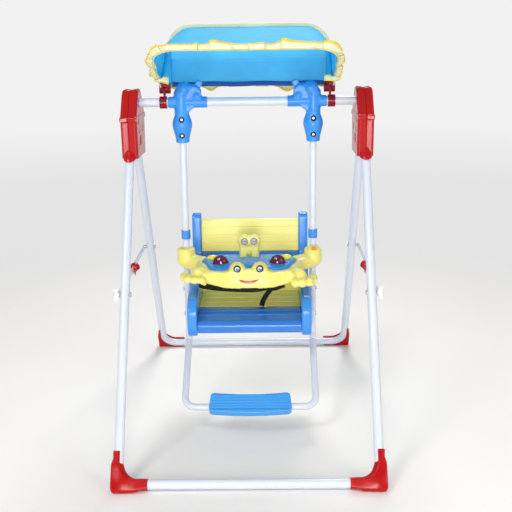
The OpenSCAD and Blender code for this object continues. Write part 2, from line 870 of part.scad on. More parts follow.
// Side profile of the footrest across its bar: tread on top, raised lip at the front
function footrest_profile() =
    let (front = footrest_shift - footrest_depth / 2)
    let (back = footrest_shift + footrest_depth / 2)
    rounded([
        [back + 4, 3, 4], [back + 4, 11, 4], [back - 10, 14, 8], [front + 14, 14, 6],
        [front + 6, 19, 4], [front - 9, 17, 5], [front - 9, 2, 5], [front + 10, -8, 6],
        [back - 14, -8, 6]
    ], 3);

// Plan of the footrest: hollowed at its rear edge, bowed at its front edge
function footrest_plan() =
    let (half = footrest_half)
    let (bow = 9)
    let (front = footrest_shift - footrest_depth / 2 + bow / 2)
    let (back = footrest_shift + footrest_depth / 2 + bow / 2)
    let (steps = 6)
    rounded(concat(
        [[-half, front, 16]],
        [for (i = [1 - steps:steps - 1]) [half * i / steps, front - bow * (1 - pow(i / steps, 2)), 0]],
        [[half, front, 16], [half - 6, back, 12]],
        [for (i = [steps - 1:-1:1 - steps]) [half * i / steps, back - bow * (1 - pow(i / steps, 2)), 0]],
        [[-half + 6, back, 12]]
    ), 5);

module footrest() {
    groove_r = 3;
    color(plastic_blue)
    translate([0, -foot_bar_y, foot_bar_z]) rotate([90 - knee_angle, 0, 0]) difference() {
        intersection() {
            prism_x(-footrest_half - 1, footrest_half + 1, footrest_profile());
            translate([0, 0, -20]) linear_extrude(50) polygon(footrest_plan());
        }
        rod_x(-hang_x, hang_x, hang_r + seat_gap);
        translate([0, 0, -15]) cube([4 * footrest_half, 2 * hang_r - 1, 30], center = true);
        for (y = [-18, -9, 0, 9, 18])
            translate([0, y + footrest_shift, 14 + groove_r * 0.5])
                rod_x(-footrest_half - 2, footrest_half + 2, groove_r);
    }
}

// ------------------------------------------------------------------- seat

// Side outline of a seat side in Y and Z: back post, arm line and front cheek
function seat_side_outline() =
    let (f = -front_y)
    let (b = back_y)
    rounded([
        [b, seat_z - 48, 18], [b, split_z, 0], [b - 4, post_top_z, 10],
        [b - 40, post_top_z, 14], [b - 44, split_z - 14, 50],
        [30, seat_z + 67, 60], [f + 30, seat_z + 50, 34],
        [f, seat_z + 20, 30], [f, seat_z - 38, 22], [f + 18, seat_z - 60, 16],
        [f + 70, seat_z - 57, 0], [b - 60, seat_z - 52, 0]
    ], 5);

// Outline of the hollow in the outer face of a seat side
function seat_hollow_outline() =
    let (f = -front_y + 12)
    rounded([
        [back_y - 14, seat_z - 34, 8], [back_y - 14, seat_z + 70, 8], [back_y - 34, seat_z + 84, 8],
        [26, seat_z + 54, 40], [f + 24, seat_z + 38, 22], [f, seat_z + 14, 18],
        [f, seat_z - 32, 12], [f + 14, seat_z - 46, 10], [back_y - 60, seat_z - 40, 0]
    ], 4);

module seat_side(s) {
    web_x = side_inner + 2 * rib_t;
    color(plastic_blue) side(s) difference() {
        prism_x(side_inner, side_outer, seat_side_outline());
        difference() {
            prism_x(web_x, side_outer + 1, seat_hollow_outline());
            for (z = seat_bolt_z)
                translate([0, 0, z]) rod_x(web_x - 1, side_outer + 2, 3 * seat_bolt_r);
            for (y = [-110, -60, 60])
                translate([0, y, 0]) cube([2 * side_outer + 4, rib_t, 2 * split_z], center = true);
        }
        seat_bolt_holes();
    }
}

module seat_side_left() { seat_side(-1); }
module seat_side_right() { seat_side(1); }

// Moulded panel lying in X and Z, z0 to z1, with its face at y = 0 and ribbed pockets behind
module ribbed_panel(z0, z1, grooves) {
    groove_r = 2.6;
    rim = 2 * rib_t;
    cells = 4;
    cell = (2 * panel_half - 2 * rim + rib_t) / cells;
    difference() {
        prism_x(-panel_half, panel_half, rounded([
            [0, z0, 1], [panel_t, z0, 1], [panel_t, z1, 3], [0, z1, 5]
        ], 3));
        for (i = [1:grooves])
            translate([0, -groove_r / 2, z0 + (z1 - z0) * i / (grooves + 1)])
                rod_x(-panel_half - 1, panel_half + 1, groove_r);
        for (i = [0:cells - 1])
            translate([rim - panel_half + i * cell, 2 * rib_t, z0 + rim])
                cube([cell - rib_t, panel_t, z1 - z0 - 2 * rim]);
    }
}

module upper_back_panel() {
    color(panel_yellow) translate([0, back_y - 32, 0])
        ribbed_panel(split_z + seat_gap, back_top_z, 3);
}

module lower_back_panel() {
    color(plastic_deep_blue) translate([0, back_y - 32, 0])
        ribbed_panel(seat_z + seat_gap, split_z, 2);
}

module seat_pan() {
    slot = [28, 6, 4 * panel_t];
    color(panel_yellow) difference() {
        translate([0, 0, seat_z]) rotate([-90, 0, 0])
            ribbed_panel(-pan_split_y + seat_gap, back_y - 16, 3);
        for (x = [-belt_slot_x, belt_slot_x])
            translate([x, -pan_split_y + rib_t, seat_z]) cube(slot, center = true);
    }
}

// Front seat panel: stepped tread that rolls over into the front apron
module seat_front_panel() {
    f = -front_y + 6;
    back = -pan_split_y;
    color(plastic_deep_blue) prism_x(-panel_half, panel_half, rounded([
        [back, seat_z - panel_t, 1], [back, seat_z, 2],
        [back - 34, seat_z + 1, 2], [back - 37, seat_z - 3, 1],
        [back - 58, seat_z - 5, 2], [back - 61, seat_z - 9, 1],
        [f + 12, seat_z - 13, 12], [f, seat_z - 24, 8], [f + 1, seat_z - 45, 3],
        [f + 5, seat_z - 48, 1.5], [f + 9, seat_z - 45, 1.5], [f + 9, seat_z - 29, 8],
        [back - 56, seat_z - 17, 20], [back - 30, seat_z - panel_t + 4, 12],
        [back - 6, seat_z - panel_t + 4, 3], [back - 6, seat_z - panel_t, 1]
    ], 3));
}

module seat_bolts() {
    color(screw_steel) both_sides() for (z = seat_bolt_z)
        translate([0, 0, z]) {
            rod_x(side_outer - side_t / 2 - 4, hang_x + hang_r + 3, seat_bolt_r);
            rod_x(hang_x + hang_r + seat_gap, hang_x + hang_r + 3, 2 * seat_bolt_r);
        }
}

// ------------------------------------------------------------------- tray

// Plan of the tray's body, drawn in by inset
function tray_plan(inset) =
    let (deep = (tray_front_y + tray_back_y) / 2 - inset)
    let (mid = (tray_back_y - tray_front_y) / 2)
    [for (p = oval(tray_half - inset, deep, 2.5, 48)) [p.x, p.y + mid]];

// Space under the moulded tray
module tray_pocket() {
    translate([0, 0, tray_low_z - 1])
        linear_extrude(tray_z - tray_low_z - tray_wall - insert_t + 1)
            polygon(tray_plan(tray_wall));
}

// Plan of the blue top insert: a mask shape with a dip at the middle of its front
function insert_plan(inset) =
    let (w = insert_half - inset)
    let (back = tray_back_y - 9 - inset)
    let (front = -tray_front_y + 32 + inset)
    rounded([
        [-w, -52, 34], [-w + 22, back, 30], [w - 22, back, 30], [w, -52, 34],
        [w - 32, front, 36], [62, front - 2, 24], [26, front + 40, 20],
        [-26, front + 40, 20], [-62, front - 2, 24], [-w + 32, front, 36]
    ], 6);

// Bumps that carry the two eyes on the front of the tray
module eye_bumps() {
    foot_z = tray_low_z + 8;
    for (s = [-1, 1]) {
        translate([s * bump_x, bump_y, foot_z])
            cylinder(h = tray_z - 2 - foot_z, r = bump_r - 1.5);
        at_bump(s) sphere(r = bump_r);
    }
}

module at_bump(s) {
    translate([s * bump_x, bump_y, tray_z - 3]) children();
}

// Claws: a palm with finger lobes at each front corner
module claws() {
    palm_r = 20;
    finger_r = 11.5;
    reach = 38;
    palm = [tray_half - 13, -tray_front_y + 45, tray_low_z + palm_r];
    both_sides() translate(palm) {
        sphere(r = palm_r);
        translate([-20, -14, 0]) sphere(r = palm_r - 4);
        for (a = [-108, -78, -48, -18, 14])
            rotate([0, 0, a]) translate([reach, 0, finger_r - palm_r]) sphere(r = finger_r);
    }
}

// Arm that reaches from the tray's body round a hanging tube
module tray_arm(top_z) {
    ball_r = arm_r + 1.5;
    ball_z = tray_low_z + 8 + ball_r;
    shoulder = [tray_half - 32, arm_y - 30];
    translate([hang_x, arm_y, 0]) {
        translate([0, 0, ball_z]) {
            sphere(r = ball_r);
            cylinder(h = top_z - ball_z - 3, r = arm_r);
        }
        translate([0, 0, top_z - 4]) cylinder(h = 4, r = arm_r - 3);
    }
    hull() {
        translate([hang_x - 4, arm_y - 2, tray_low_z + 14])
            cylinder(h = tray_z - tray_low_z - 8, r = arm_r - 7, $fn = 32);
        translate([shoulder.x, shoulder.y, tray_low_z + 6])
            cylinder(h = tray_z - tray_low_z - 8, r = 28, $fn = 32);
    }
}

// Shell of the body: chamfered along its upper and lower edges
module tray_block() {
    chamfer = 5;
    hull() {
        translate([0, 0, tray_low_z]) linear_extrude(tray_z - tray_low_z - 4)
            polygon(tray_plan(chamfer));
        translate([0, 0, tray_low_z + 2 * chamfer])
            linear_extrude(tray_z - tray_low_z - 2 * chamfer - 3) polygon(tray_plan(0));
        translate([0, 0, tray_z - 1]) linear_extrude(1) polygon(tray_plan(3));
    }
}

module tray_body() {
    dome_z = arm_top_z - 4;
    color(plastic_yellow) difference() {
        union() {
            tray_block();
            eye_bumps();
            claws();
            side(-1) tray_arm(arm_top_z);
            tray_arm(dome_z);
            translate([hang_x, arm_y, dome_z - 14]) intersection() {
                sphere(r = arm_r - 1);
                translate([0, 0, 6]) cylinder(h = arm_r, r = arm_r);
            }
        }
        tray_pocket();
        translate([0, 0, tray_z - insert_t]) linear_extrude(80) polygon(insert_plan(0));
        translate([-hang_x, 0, 0]) cylinder(h = 2 * tray_z, r = hang_r + run_gap);
        gate_slot();
        latch_bore();
        at_eyes() translate([0, 0, -eye_seat]) cylinder(h = 40, r = eye_r + seat_gap);
    }
}

// Slot, open to the rear, through which the right arm leaves its tube
module gate_slot() {
    wide = hang_r + 2.5;
    translate([hang_x, 0, 0]) cylinder(h = 2 * tray_z, r = wide);
    translate([hang_x - wide, 0, 0]) cube([2 * wide, 100, 2 * tray_z]);
}

module latch_bore() {
    translate([hang_x, latch_y, tray_z - 8]) cylinder(h = 100, r = 4 + run_gap);
}

module latch_button() {
    crown = arm_top_z + latch_travel + 10;
    stem_z = tray_z - 7 + latch_travel;
    color(button_orange) translate([hang_x, latch_y, 0]) {
        translate([0, 0, stem_z]) cylinder(h = crown - stem_z - 4, r = 4);
        translate([0, 0, crown - 5]) intersection() {
            cylinder(h = 5, r = 6);
            translate([0, 0, -5]) sphere(r = 10);
        }
    }
}

// Place and lean of the two eyes, on the skin of their bumps
module at_eyes() {
    lean = 17;
    for (s = [-1, 1])
        at_bump(s) rotate([90 - lean, 0, 0]) translate([0, 0, bump_r]) children();
}

// Eyes on the tray's bumps: a disc with a raised pupil
module tray_eyes() {
    color("white") at_eyes() translate([0, 0, seat_gap - eye_seat]) {
        cylinder(h = eye_seat, r = eye_r);
        translate([0, 0, eye_seat - 1]) cylinder(h = 2, r = eye_r / 2);
    }
}

// Top insert with seats for the domes, the push buttons and the stalk eyes
module tray_insert() {
    bed = tray_z - insert_t;
    color(plastic_blue) difference() {
        union() {
            translate([0, 0, bed]) linear_extrude(insert_t) polygon(insert_plan(seat_gap));
            translate([0, 0, tray_z]) linear_extrude(4) polygon(insert_plan(6));
        }
        for (s = [-1, 1]) {
            translate([s * dome_x, dome_y, tray_z - 1])
                linear_extrude(10) polygon(oval(dome_a + seat_gap, dome_b + seat_gap));
            translate([s * push_x, push_y, bed - 1])
                linear_extrude(20) polygon(oval(push_a + run_gap, push_b + run_gap));
            translate([s * stalk_x, stalk_y, tray_z - 1]) cylinder(h = 10, r = stalk_r + seat_gap);
        }
    }
}

// Crown over an oval: rings of shrinking size joined by a hull
module oval_crown(a, b, rise) {
    rings = 5;
    hull() for (i = [0:rings])
        let (shrink = max(0.12, sqrt(1 - pow(i / rings, 2))))
        translate([0, 0, i * rise / rings])
            linear_extrude(0.2) polygon(oval(a * shrink, b * shrink, 2, 32));
}

// Clear domes over their bulbs
module tray_domes() {
    color(lens_purple) for (s = [-1, 1])
        translate([s * dome_x, dome_y, tray_z - 1 + eps]) oval_crown(dome_a, dome_b, 20);
}

module tray_button(s) {
    foot_z = tray_z - insert_t + push_travel + 0.5;
    rim_z = tray_z + 7 + push_travel;
    color(button_yellow) translate([s * push_x, push_y, 0]) {
        translate([0, 0, foot_z]) linear_extrude(rim_z - foot_z) polygon(oval(push_a, push_b));
        translate([0, 0, rim_z]) oval_crown(push_a, push_b, 6);
    }
}

module tray_button_left() { tray_button(-1); }
module tray_button_right() { tray_button(1); }

// Figure of two stalk eyes: two legs under a block that carries two round heads
module stalk_eyes() {
    head_z = 54;
    head_r = 20;
    head_x = 13.5;
    color(plastic_yellow) translate([0, stalk_y, tray_z - 1 + eps]) difference() {
        union() {
            for (s = [-1, 1]) {
                translate([s * stalk_x, 0, 0]) cylinder(h = head_z - 4, r = stalk_r);
                translate([s * head_x, 0, head_z]) sphere(r = head_r);
            }
            prism_y(-11, 11, rounded([
                [-26, 26, 6], [26, 26, 6], [26, head_z, 2], [-26, head_z, 2]
            ], 3));
        }
        for (s = [-1, 1])
            translate([s * head_x, -head_r + 3, head_z - 2]) rotate([90, 0, 0])
                cylinder(h = 6, r = 6.5);
    }
}

// ------------------------------------------------------------------ belts

// Line of the waist belt, bowing forward between the seat sides: t runs from -1 to 1
function belt_y(t) = belt_end_y - belt_bow * (1 - t * t);

module waist_belt() {
    steps = 10;
    color(webbing_black) translate([0, 0, belt_z]) linear_extrude(belt_h)
        polygon(concat(
            [for (i = [-steps:steps]) [panel_half * i / steps, belt_y(i / steps)]],
            [for (i = [steps:-1:-steps]) [panel_half * i / steps, belt_y(i / steps) - belt_t]]
        ));
}

// Crotch strap from the seat up to the waist belt, standing close behind it
module crotch_strap() {
    x0 = 14;
    x1 = 36;
    front = belt_y(x1 / panel_half) + 2 * seat_gap;
    color(webbing_black) prism_x(x0, x1, [
        [-pan_split_y + 8, seat_z + seat_gap], [-pan_split_y + 12, seat_z + seat_gap],
        [front + belt_t, belt_z + 4], [front + belt_t, belt_z + belt_h - 4],
        [front, belt_z + belt_h - 4], [front, belt_z + 4]
    ]);
}

// ----------------------------------------------------------------- canopy

// Clamp round the crossbar with a tongue that carries the canopy's pivot
module canopy_clamp(s) {
    ring_r = tube_r + 4.5;
    pin_r = 2.5;
    color(plastic_dark_red) side(s) translate([0, 0, bar_z]) difference() {
        union() {
            rod_x(clamp_x, clamp_x + clamp_w, ring_r);
            translate([tongue_x - tongue_t / 2, -7, tube_r])
                cube([tongue_t, 14, canopy_pivot_up - tube_r]);
            translate([0, 0, canopy_pivot_up])
                rod_x(tongue_x - tongue_t / 2, tongue_x + tongue_t / 2, 7);
        }
        rod_x(0, 2 * clamp_x, tube_r + 0.05);
        translate([0, 0, canopy_pivot_up]) rod_x(0, 2 * clamp_x, pin_r + run_gap);
        translate([clamp_x - 1, -ring_r - 1, -1]) cube([clamp_w + 2, 2 * tube_wall + 4, 2]);
    }
}

module canopy_clamp_left() { canopy_clamp(-1); }
module canopy_clamp_right() { canopy_clamp(1); }

// Toothed block that grips both wire bows and tilts on the clamp's tongue
module canopy_knuckle(s) {
    slot = tongue_t + 4 * seat_gap;
    x0 = clamp_x - 11;
    x1 = canopy_half - cloth_t - 1;
    pin_r = 2.5;
    color(plastic_dark_red) side(s) {
        difference() {
            translate([0, 0, canopy_pivot_z]) union() {
                knuckle_wheel(x0, x1);
                translate([x0, -12, 0]) cube([x1 - x0, 24, 16]);
            }
            translate([tongue_x - slot / 2, -20, canopy_pivot_z - 20]) cube([slot, 40, 20 + 8]);
            bow_socket(-front_bow_at.x, front_bow_at.y);
            bow_socket(rear_bow_at.x, rear_bow_at.y);
        }
        translate([0, 0, canopy_pivot_z])
            rod_x(tongue_x - slot / 2 - 1, tongue_x + slot / 2 + 1, pin_r);
    }
}

module knuckle_wheel(x0, x1) {
    teeth = 14;
    wheel_r = 12;
    rod_x(x0, x1, wheel_r);
    for (i = [0:teeth - 1])
        rotate([i * 360 / teeth, 0, 0]) translate([x0, -1.2, 0])
            cube([x1 - x0, 2.4, wheel_r + 1.4]);
}

// Blind hole for the end of a bow whose top bar lies at y, z
module bow_socket(y, z) {
    length = norm([y, z - canopy_pivot_z]) - bow_end + seat_gap;
    bow_plane(y, z) translate([bow_x, 0, length - 40]) cylinder(h = 40, r = wire_d / 2 + seat_gap);
}

module canopy_knuckle_left() { canopy_knuckle(-1); }
module canopy_knuckle_right() { canopy_knuckle(1); }

// Places a bow's plane: local Z runs down the bow's legs from its top bar
module bow_plane(y, z) {
    translate([0, y, z]) rotate([atan2(y, canopy_pivot_z - z) , 0, 0]) children();
}

// Wire bow: an arch whose ends sit in the two knuckles
module bow(y, z, corner_r) {
    length = norm([y, z - canopy_pivot_z]) - bow_end;
    color(steel_white) bow_plane(y, z) arch_run(bow_x, corner_r, length, wire_d / 2);
}

module front_bow() {
    bow(-front_bow_at.x, front_bow_at.y, front_corner_r - 4);
}

module rear_bow() {
    bow(rear_bow_at.x, rear_bow_at.y, 2.2 * rear_corner_r);
}

// Top bar of a bow: y is the edge of the canopy's top, and way leads from it into the canopy.
// Gives the distance from the crossbar and the height
function bow_under_cloth(y, way) =
    let (inset = cloth_t + wire_d / 2 + 1)
    let (at = y + way * inset)
    let (top = canopy_front_z + canopy_slope * (at + canopy_front_y))
    [abs(at), top - inset * norm([1, canopy_slope])];

// Arch outline in X and height: straight sides with round upper corners
function arch(half, low, high, r) =
    rounded([[-half, low, 0], [half, low, 0], [half, high, r], [-half, high, r]], 8);

// Wedge between the front arch and the rear panel, drawn in by inset and stretched past the open
// front and bottom by spill
module canopy_wedge(inset, spill) {
    front_edge = norm([canopy_front_y, canopy_front_up]);
    half = canopy_half - inset;
    low = spill > 0 ? -spill : canopy_low;
    hull() {
        translate([0, -spill, canopy_pivot_z - canopy_slope * spill])
            rotate([atan2(canopy_front_y, canopy_front_up) + 90, 0, 0]) linear_extrude(1)
                polygon(arch(half, low, front_edge - 2 * inset, front_corner_r - inset));
        translate([0, canopy_rear_y - inset, 0]) rotate([90, 0, 0]) linear_extrude(1)
            polygon(arch(half, hem_z - spill, canopy_rear_z - inset, rear_corner_r - inset));
    }
}

module canopy_cover() {
    color(cloth_blue) difference() {
        canopy_wedge(0, 0);
        canopy_wedge(cloth_t, 40);
    }
}

front_leg_tube();
rear_leg_tube();
crossbar();
front_foot_left();
front_foot_right();
rear_foot_left();
rear_foot_right();
housing_outer_left();
housing_inner_left();
housing_outer_right();
housing_inner_right();
leg_pivot_bolts();
leg_fixing_bolts();
brace_link_front_left();
brace_link_front_right();
brace_link_rear_left();
brace_link_rear_right();
brace_locks_inner();
brace_locks_outer();
brace_bolts_front();
brace_bolts_rear();
wing_nut_left();
wing_nut_right();
hanger_front_left();
hanger_back_left();
hanger_front_right();
hanger_back_right();
hanger_screws();
hanging_tube_left();
hanging_tube_right();
tube_collar_left();
tube_collar_right();
lower_frame_tube();
footrest();
seat_side_left();
seat_side_right();
upper_back_panel();
lower_back_panel();
seat_pan();
seat_front_panel();
seat_bolts();
tray_body();
tray_insert();
tray_domes();
tray_button_left();
tray_button_right();
stalk_eyes();
tray_eyes();
latch_button();
waist_belt();
crotch_strap();
canopy_clamp_left();
canopy_clamp_right();
canopy_knuckle_left();
canopy_knuckle_right();
front_bow();
rear_bow();
canopy_cover();
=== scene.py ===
"""Looks of a folding baby swing: tube stand, moulded seat with a crab tray, cloth canopy."""
import json
import math

import bmesh
import bpy
import numpy as np
from mathutils import Matrix, Vector, noise


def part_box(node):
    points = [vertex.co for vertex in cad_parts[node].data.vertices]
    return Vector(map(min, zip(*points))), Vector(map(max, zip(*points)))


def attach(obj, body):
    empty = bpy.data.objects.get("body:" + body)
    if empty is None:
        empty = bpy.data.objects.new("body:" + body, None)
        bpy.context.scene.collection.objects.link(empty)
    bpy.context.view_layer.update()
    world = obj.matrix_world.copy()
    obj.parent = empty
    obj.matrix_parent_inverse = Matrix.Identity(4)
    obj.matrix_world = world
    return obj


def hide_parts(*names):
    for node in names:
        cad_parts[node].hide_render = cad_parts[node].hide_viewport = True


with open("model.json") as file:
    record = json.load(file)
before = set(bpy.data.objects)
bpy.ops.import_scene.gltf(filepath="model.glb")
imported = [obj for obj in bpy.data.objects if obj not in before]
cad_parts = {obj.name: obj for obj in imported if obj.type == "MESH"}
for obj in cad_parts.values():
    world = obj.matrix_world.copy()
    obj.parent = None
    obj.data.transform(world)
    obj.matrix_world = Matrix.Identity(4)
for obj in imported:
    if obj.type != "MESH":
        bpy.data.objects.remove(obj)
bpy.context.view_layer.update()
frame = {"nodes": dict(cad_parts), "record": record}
nodes = frame["nodes"]
slot_of = {row["node"]: row["material_slot"] for row in frame["record"]["subparts"]}
scene = bpy.context.scene

SIGNS = (-1, 1)
SIDES = ((-1, "left"), (1, "right"))


def add_object(name, data):
    """A new object in the scene for a mesh, lamp or camera."""
    obj = bpy.data.objects.new(name, data)
    scene.collection.objects.link(obj)
    return obj


def from_bmesh(name, bm, mat):
    """A new object from bm, in one material."""
    mesh = bpy.data.meshes.new(name)
    bm.to_mesh(mesh)
    bm.free()
    mesh.materials.append(mat)
    return add_object(name, mesh)


# ------------------------ shader nodes


def srgb(r, g, b):
    """Linear colour from 0..255 display values."""
    return tuple(((c / 255 + 0.055) / 1.055) ** 2.4 if c > 10 else c / 255 / 12.92 for c in (r, g, b))


def feed(tree, socket, value):
    """Links a socket to another node's output, or gives it a plain value."""
    if isinstance(value, bpy.types.NodeSocket):
        tree.links.new(value, socket)
    else:
        socket.default_value = value


def add(tree, kind, **inputs):
    """A new node with its sockets fed by name, where _ stands for a space."""
    node = tree.nodes.new(kind)
    for key, value in inputs.items():
        feed(tree, node.inputs[key.replace("_", " ")], value)
    return node


def calc(tree, operation, *terms):
    node = tree.nodes.new("ShaderNodeMath")
    node.operation = operation
    for socket, term in zip(node.inputs, terms):
        feed(tree, socket, term)
    return node.outputs[0]


def vector_math(tree, operation, *vectors, scale=None):
    node = tree.nodes.new("ShaderNodeVectorMath")
    node.operation = operation
    for socket, vector in zip(node.inputs, vectors):
        feed(tree, socket, vector)
    if scale is not None:
        feed(tree, node.inputs["Scale"], scale)
    return node.outputs["Value" if operation == "LENGTH" else "Vector"]


def map_range(tree, value, start, end, low=0.0, high=1.0, smooth=False):
    """low where value is at start, high where it is at end, and no further."""
    node = add(tree, "ShaderNodeMapRange", Value=value, From_Min=start, From_Max=end, To_Min=low, To_Max=high)
    if smooth:
        node.interpolation_type = "SMOOTHSTEP"
    return node.outputs["Result"]


def mix_colours(tree, factor, a, b):
    node = tree.nodes.new("ShaderNodeMix")
    node.data_type = "VECTOR"
    for key, value in (("Factor", factor), ("A", a), ("B", b)):
        feed(tree, node.inputs[key], value)
    return node.outputs["Result"]


def show_both(tree, factor, first, second, output="Material Output"):
    """Shows two shader nodes, mixed by factor, at the tree's output."""
    node = tree.nodes.new("ShaderNodeMixShader")
    for socket, value in zip(node.inputs, (factor, first.outputs[0], second.outputs[0])):
        feed(tree, socket, value)
    tree.links.new(node.outputs[0], tree.nodes[output].inputs["Surface"])


def coords_of(tree, kind="Object"):
    return tree.nodes.new("ShaderNodeTexCoord").outputs[kind]


def axis_of(tree, axis, kind="Object"):
    return add(tree, "ShaderNodeSeparateXYZ", Vector=coords_of(tree, kind)).outputs[axis]


def noise_of(tree, scale, detail=2.0):
    return add(tree, "ShaderNodeTexNoise", Vector=coords_of(tree), Scale=scale, Detail=detail).outputs["Fac"]


# ------------------------ camera and studio

IMAGE_PX = 512
FOCAL_PX = 872
SENSOR_MM = 36
CAMERA_AT = Vector((0.050, -2.483, 1.103))
YAW, PITCH, ROLL = -0.01265, 0.24985, -0.01325

# the backdrop, as camera rays see it
HORIZON = (0.775, 0.775, 0.78)
ZENITH = (0.885, 0.885, 0.885)
HORIZON_RISE = (-0.30, -0.10)
WORLD_STRENGTH = 0.40

FLOOR_RADIUS = 40
FLOOR_Z = -0.0005
PAPER = (0.945, 0.925, 0.900, 1)
PAPER_FADE = (0.7, 2.6)
HORIZON_FADE = (3.2, 9.0)

# name: place, aim, size, watts
LAMPS = {
    "key": ((-1.4, -2.3, 2.7), (0, 0, 0.6), 1.0, 34),
    "fill": ((2.0, -2.2, 1.5), (0, 0, 0.6), 1.3, 13),
    "low": ((-0.1, -2.4, 0.45), (0, 0.15, 0.9), 0.8, 13),
    "front": ((0.05, -2.7, 0.85), (0, 0, 0.6), 0.6, 14),
    "back": ((0.3, 2.0, 3.0), (0, 0.1, 0.9), 1.2, 54),
}


def make_camera():
    cam = add_object("camera", bpy.data.cameras.new("camera"))
    cam.data.sensor_width = SENSOR_MM
    cam.data.lens = FOCAL_PX / IMAGE_PX * SENSOR_MM
    ahead = Vector((math.sin(YAW) * math.cos(PITCH), math.cos(YAW) * math.cos(PITCH), -math.sin(PITCH)))
    right = Vector((math.cos(YAW), -math.sin(YAW), 0))
    up = right.cross(ahead)
    image_right = math.cos(ROLL) * right + math.sin(ROLL) * up
    image_up = math.cos(ROLL) * up - math.sin(ROLL) * right
    turn = Matrix((image_right, image_up, -ahead)).transposed()
    cam.matrix_world = Matrix.Translation(CAMERA_AT) @ turn.to_4x4()
    scene.camera = cam


def make_lamp(name, at, aim, size, watts):
    data = bpy.data.lights.new(name, "AREA")
    data.shape = "DISK"
    data.size = size
    data.energy = watts
    lamp = add_object(name, data)
    lamp.location = at
    lamp.rotation_euler = (Vector(aim) - Vector(at)).to_track_quat("-Z", "Y").to_euler()


def make_studio():
    """A plain white world for light, with the backdrop's colours for camera rays only."""
    world = bpy.data.worlds.new("studio")
    scene.world = world
    world.use_nodes = True
    tree = world.node_tree
    light = tree.nodes["Background"]
    light.inputs["Color"].default_value = (1, 1, 1, 1)
    light.inputs["Strength"].default_value = WORLD_STRENGTH
    rise = map_range(tree, axis_of(tree, "Z", "Generated"), *HORIZON_RISE, smooth=True)
    seen = add(tree, "ShaderNodeBackground", Color=mix_colours(tree, rise, HORIZON, ZENITH), Strength=1)
    from_camera = tree.nodes.new("ShaderNodeLightPath").outputs["Is Camera Ray"]
    show_both(tree, from_camera, light, seen, "World Output")
    for name, lamp in LAMPS.items():
        make_lamp(name, *lamp)
    scene.view_settings.view_transform = "Standard"


def make_floor():
    """White paper, which fades into the backdrop far from the object, so that no horizon shows."""
    mat, tree, shader = material("floor_paper", Base_Color=PAPER, Roughness=0.9)
    away = vector_math(tree, "LENGTH", coords_of(tree))
    fade = map_range(tree, away, *PAPER_FADE, smooth=True)
    beyond = map_range(tree, away, *HORIZON_FADE, smooth=True)
    glow = add(tree, "ShaderNodeEmission", Color=mix_colours(tree, beyond, HORIZON, ZENITH))
    show_both(tree, fade, shader, glow)
    bm = bmesh.new()
    bmesh.ops.create_circle(bm, cap_ends=True, segments=96, radius=FLOOR_RADIUS)
    floor = from_bmesh("floor", bm, mat)
    floor.location.z = FLOOR_Z


# ------------------------ materials


def material(name, **settings):
    """A new material, its node tree and its shader, with the shader's own sockets set."""
    mat = bpy.data.materials.new(name)
    mat.use_nodes = True
    shader = mat.node_tree.nodes["Principled BSDF"]
    for key, value in settings.items():
        shader.inputs[key.replace("_", " ")].default_value = value
    return mat, mat.node_tree, shader


def vary(tree, shader, colour, amount, scale):
    """A display colour as the base colour, slowly varied over the surface."""
    shade = map_range(tree, noise_of(tree, scale, 3.0), 0, 1, 1 - amount, 1 + amount)
    tree.links.new(vector_math(tree, "SCALE", srgb(*colour), scale=shade), shader.inputs["Base Color"])


def bump(tree, shader, height, strength, distance):
    node = add(tree, "ShaderNodeBump", Strength=strength, Distance=distance, Height=height)
    tree.links.new(node.outputs["Normal"], shader.inputs["Normal"])


def away_from(tree, x, z):
    """Distance of the surface from the line through (x, z) that runs from front to back."""
    off = vector_math(tree, "SUBTRACT", coords_of(tree), (x, 0, z))
    return vector_math(tree, "LENGTH", vector_math(tree, "MULTIPLY", off, (1, 0, 1)))


def within(tree, value, limit, soft=0.0003):
    """1 where value is below limit, 0 above, with a narrow soft edge."""
    return map_range(tree, value, limit - soft, limit + soft, 1, 0)


def paint(tree, mask, colour):
    """Covers the base colour with a display colour where mask is 1."""
    base = tree.nodes["Principled BSDF"].inputs["Base Color"]
    tree.links.new(mix_colours(tree, mask, base.links[0].from_socket, srgb(*colour)), base)


def ahead_of(tree, y):
    return calc(tree, "LESS_THAN", axis_of(tree, "Y"), y)


def rings(mat, centres, bands, front):
    """Discs round each (x, z) centre, widest first, on what faces ahead of front."""
    tree = mat.node_tree
    ahead = ahead_of(tree, front)
    for centre in centres:
        away = away_from(tree, *centre)
        for radius, colour in bands:
            paint(tree, calc(tree, "MULTIPLY", within(tree, away, radius), ahead), colour)


def smile(mat, low, dip, ends, half, front):
    """A printed crescent: low and dip are its arcs' heights at the middle, ends where they meet."""
    tree = mat.node_tree
    ahead = ahead_of(tree, front)
    arcs = []
    for bottom in (low, dip):
        radius = (half * half + (ends - bottom) ** 2) / (2 * (ends - bottom))
        arcs.append((away_from(tree, SMILE_X, bottom + radius), radius))
    (lower, lower_radius), (upper, upper_radius) = arcs
    above = within(tree, upper, upper_radius)
    crescent = calc(tree, "MULTIPLY", within(tree, lower, lower_radius), calc(tree, "SUBTRACT", 1, above))
    paint(tree, calc(tree, "MULTIPLY", crescent, ahead), LIP_RED)
    rim = calc(tree, "ABSOLUTE", calc(tree, "SUBTRACT", upper, upper_radius))
    line = calc(tree, "MULTIPLY", within(tree, rim, 0.0005), within(tree, lower, lower_radius + 0.0004))
    paint(tree, calc(tree, "MULTIPLY", line, ahead), LIP_LINE)


def band_below(mat, height, colour):
    tree = mat.node_tree
    paint(tree, within(tree, axis_of(tree, "Z"), height, 0.0002), colour)


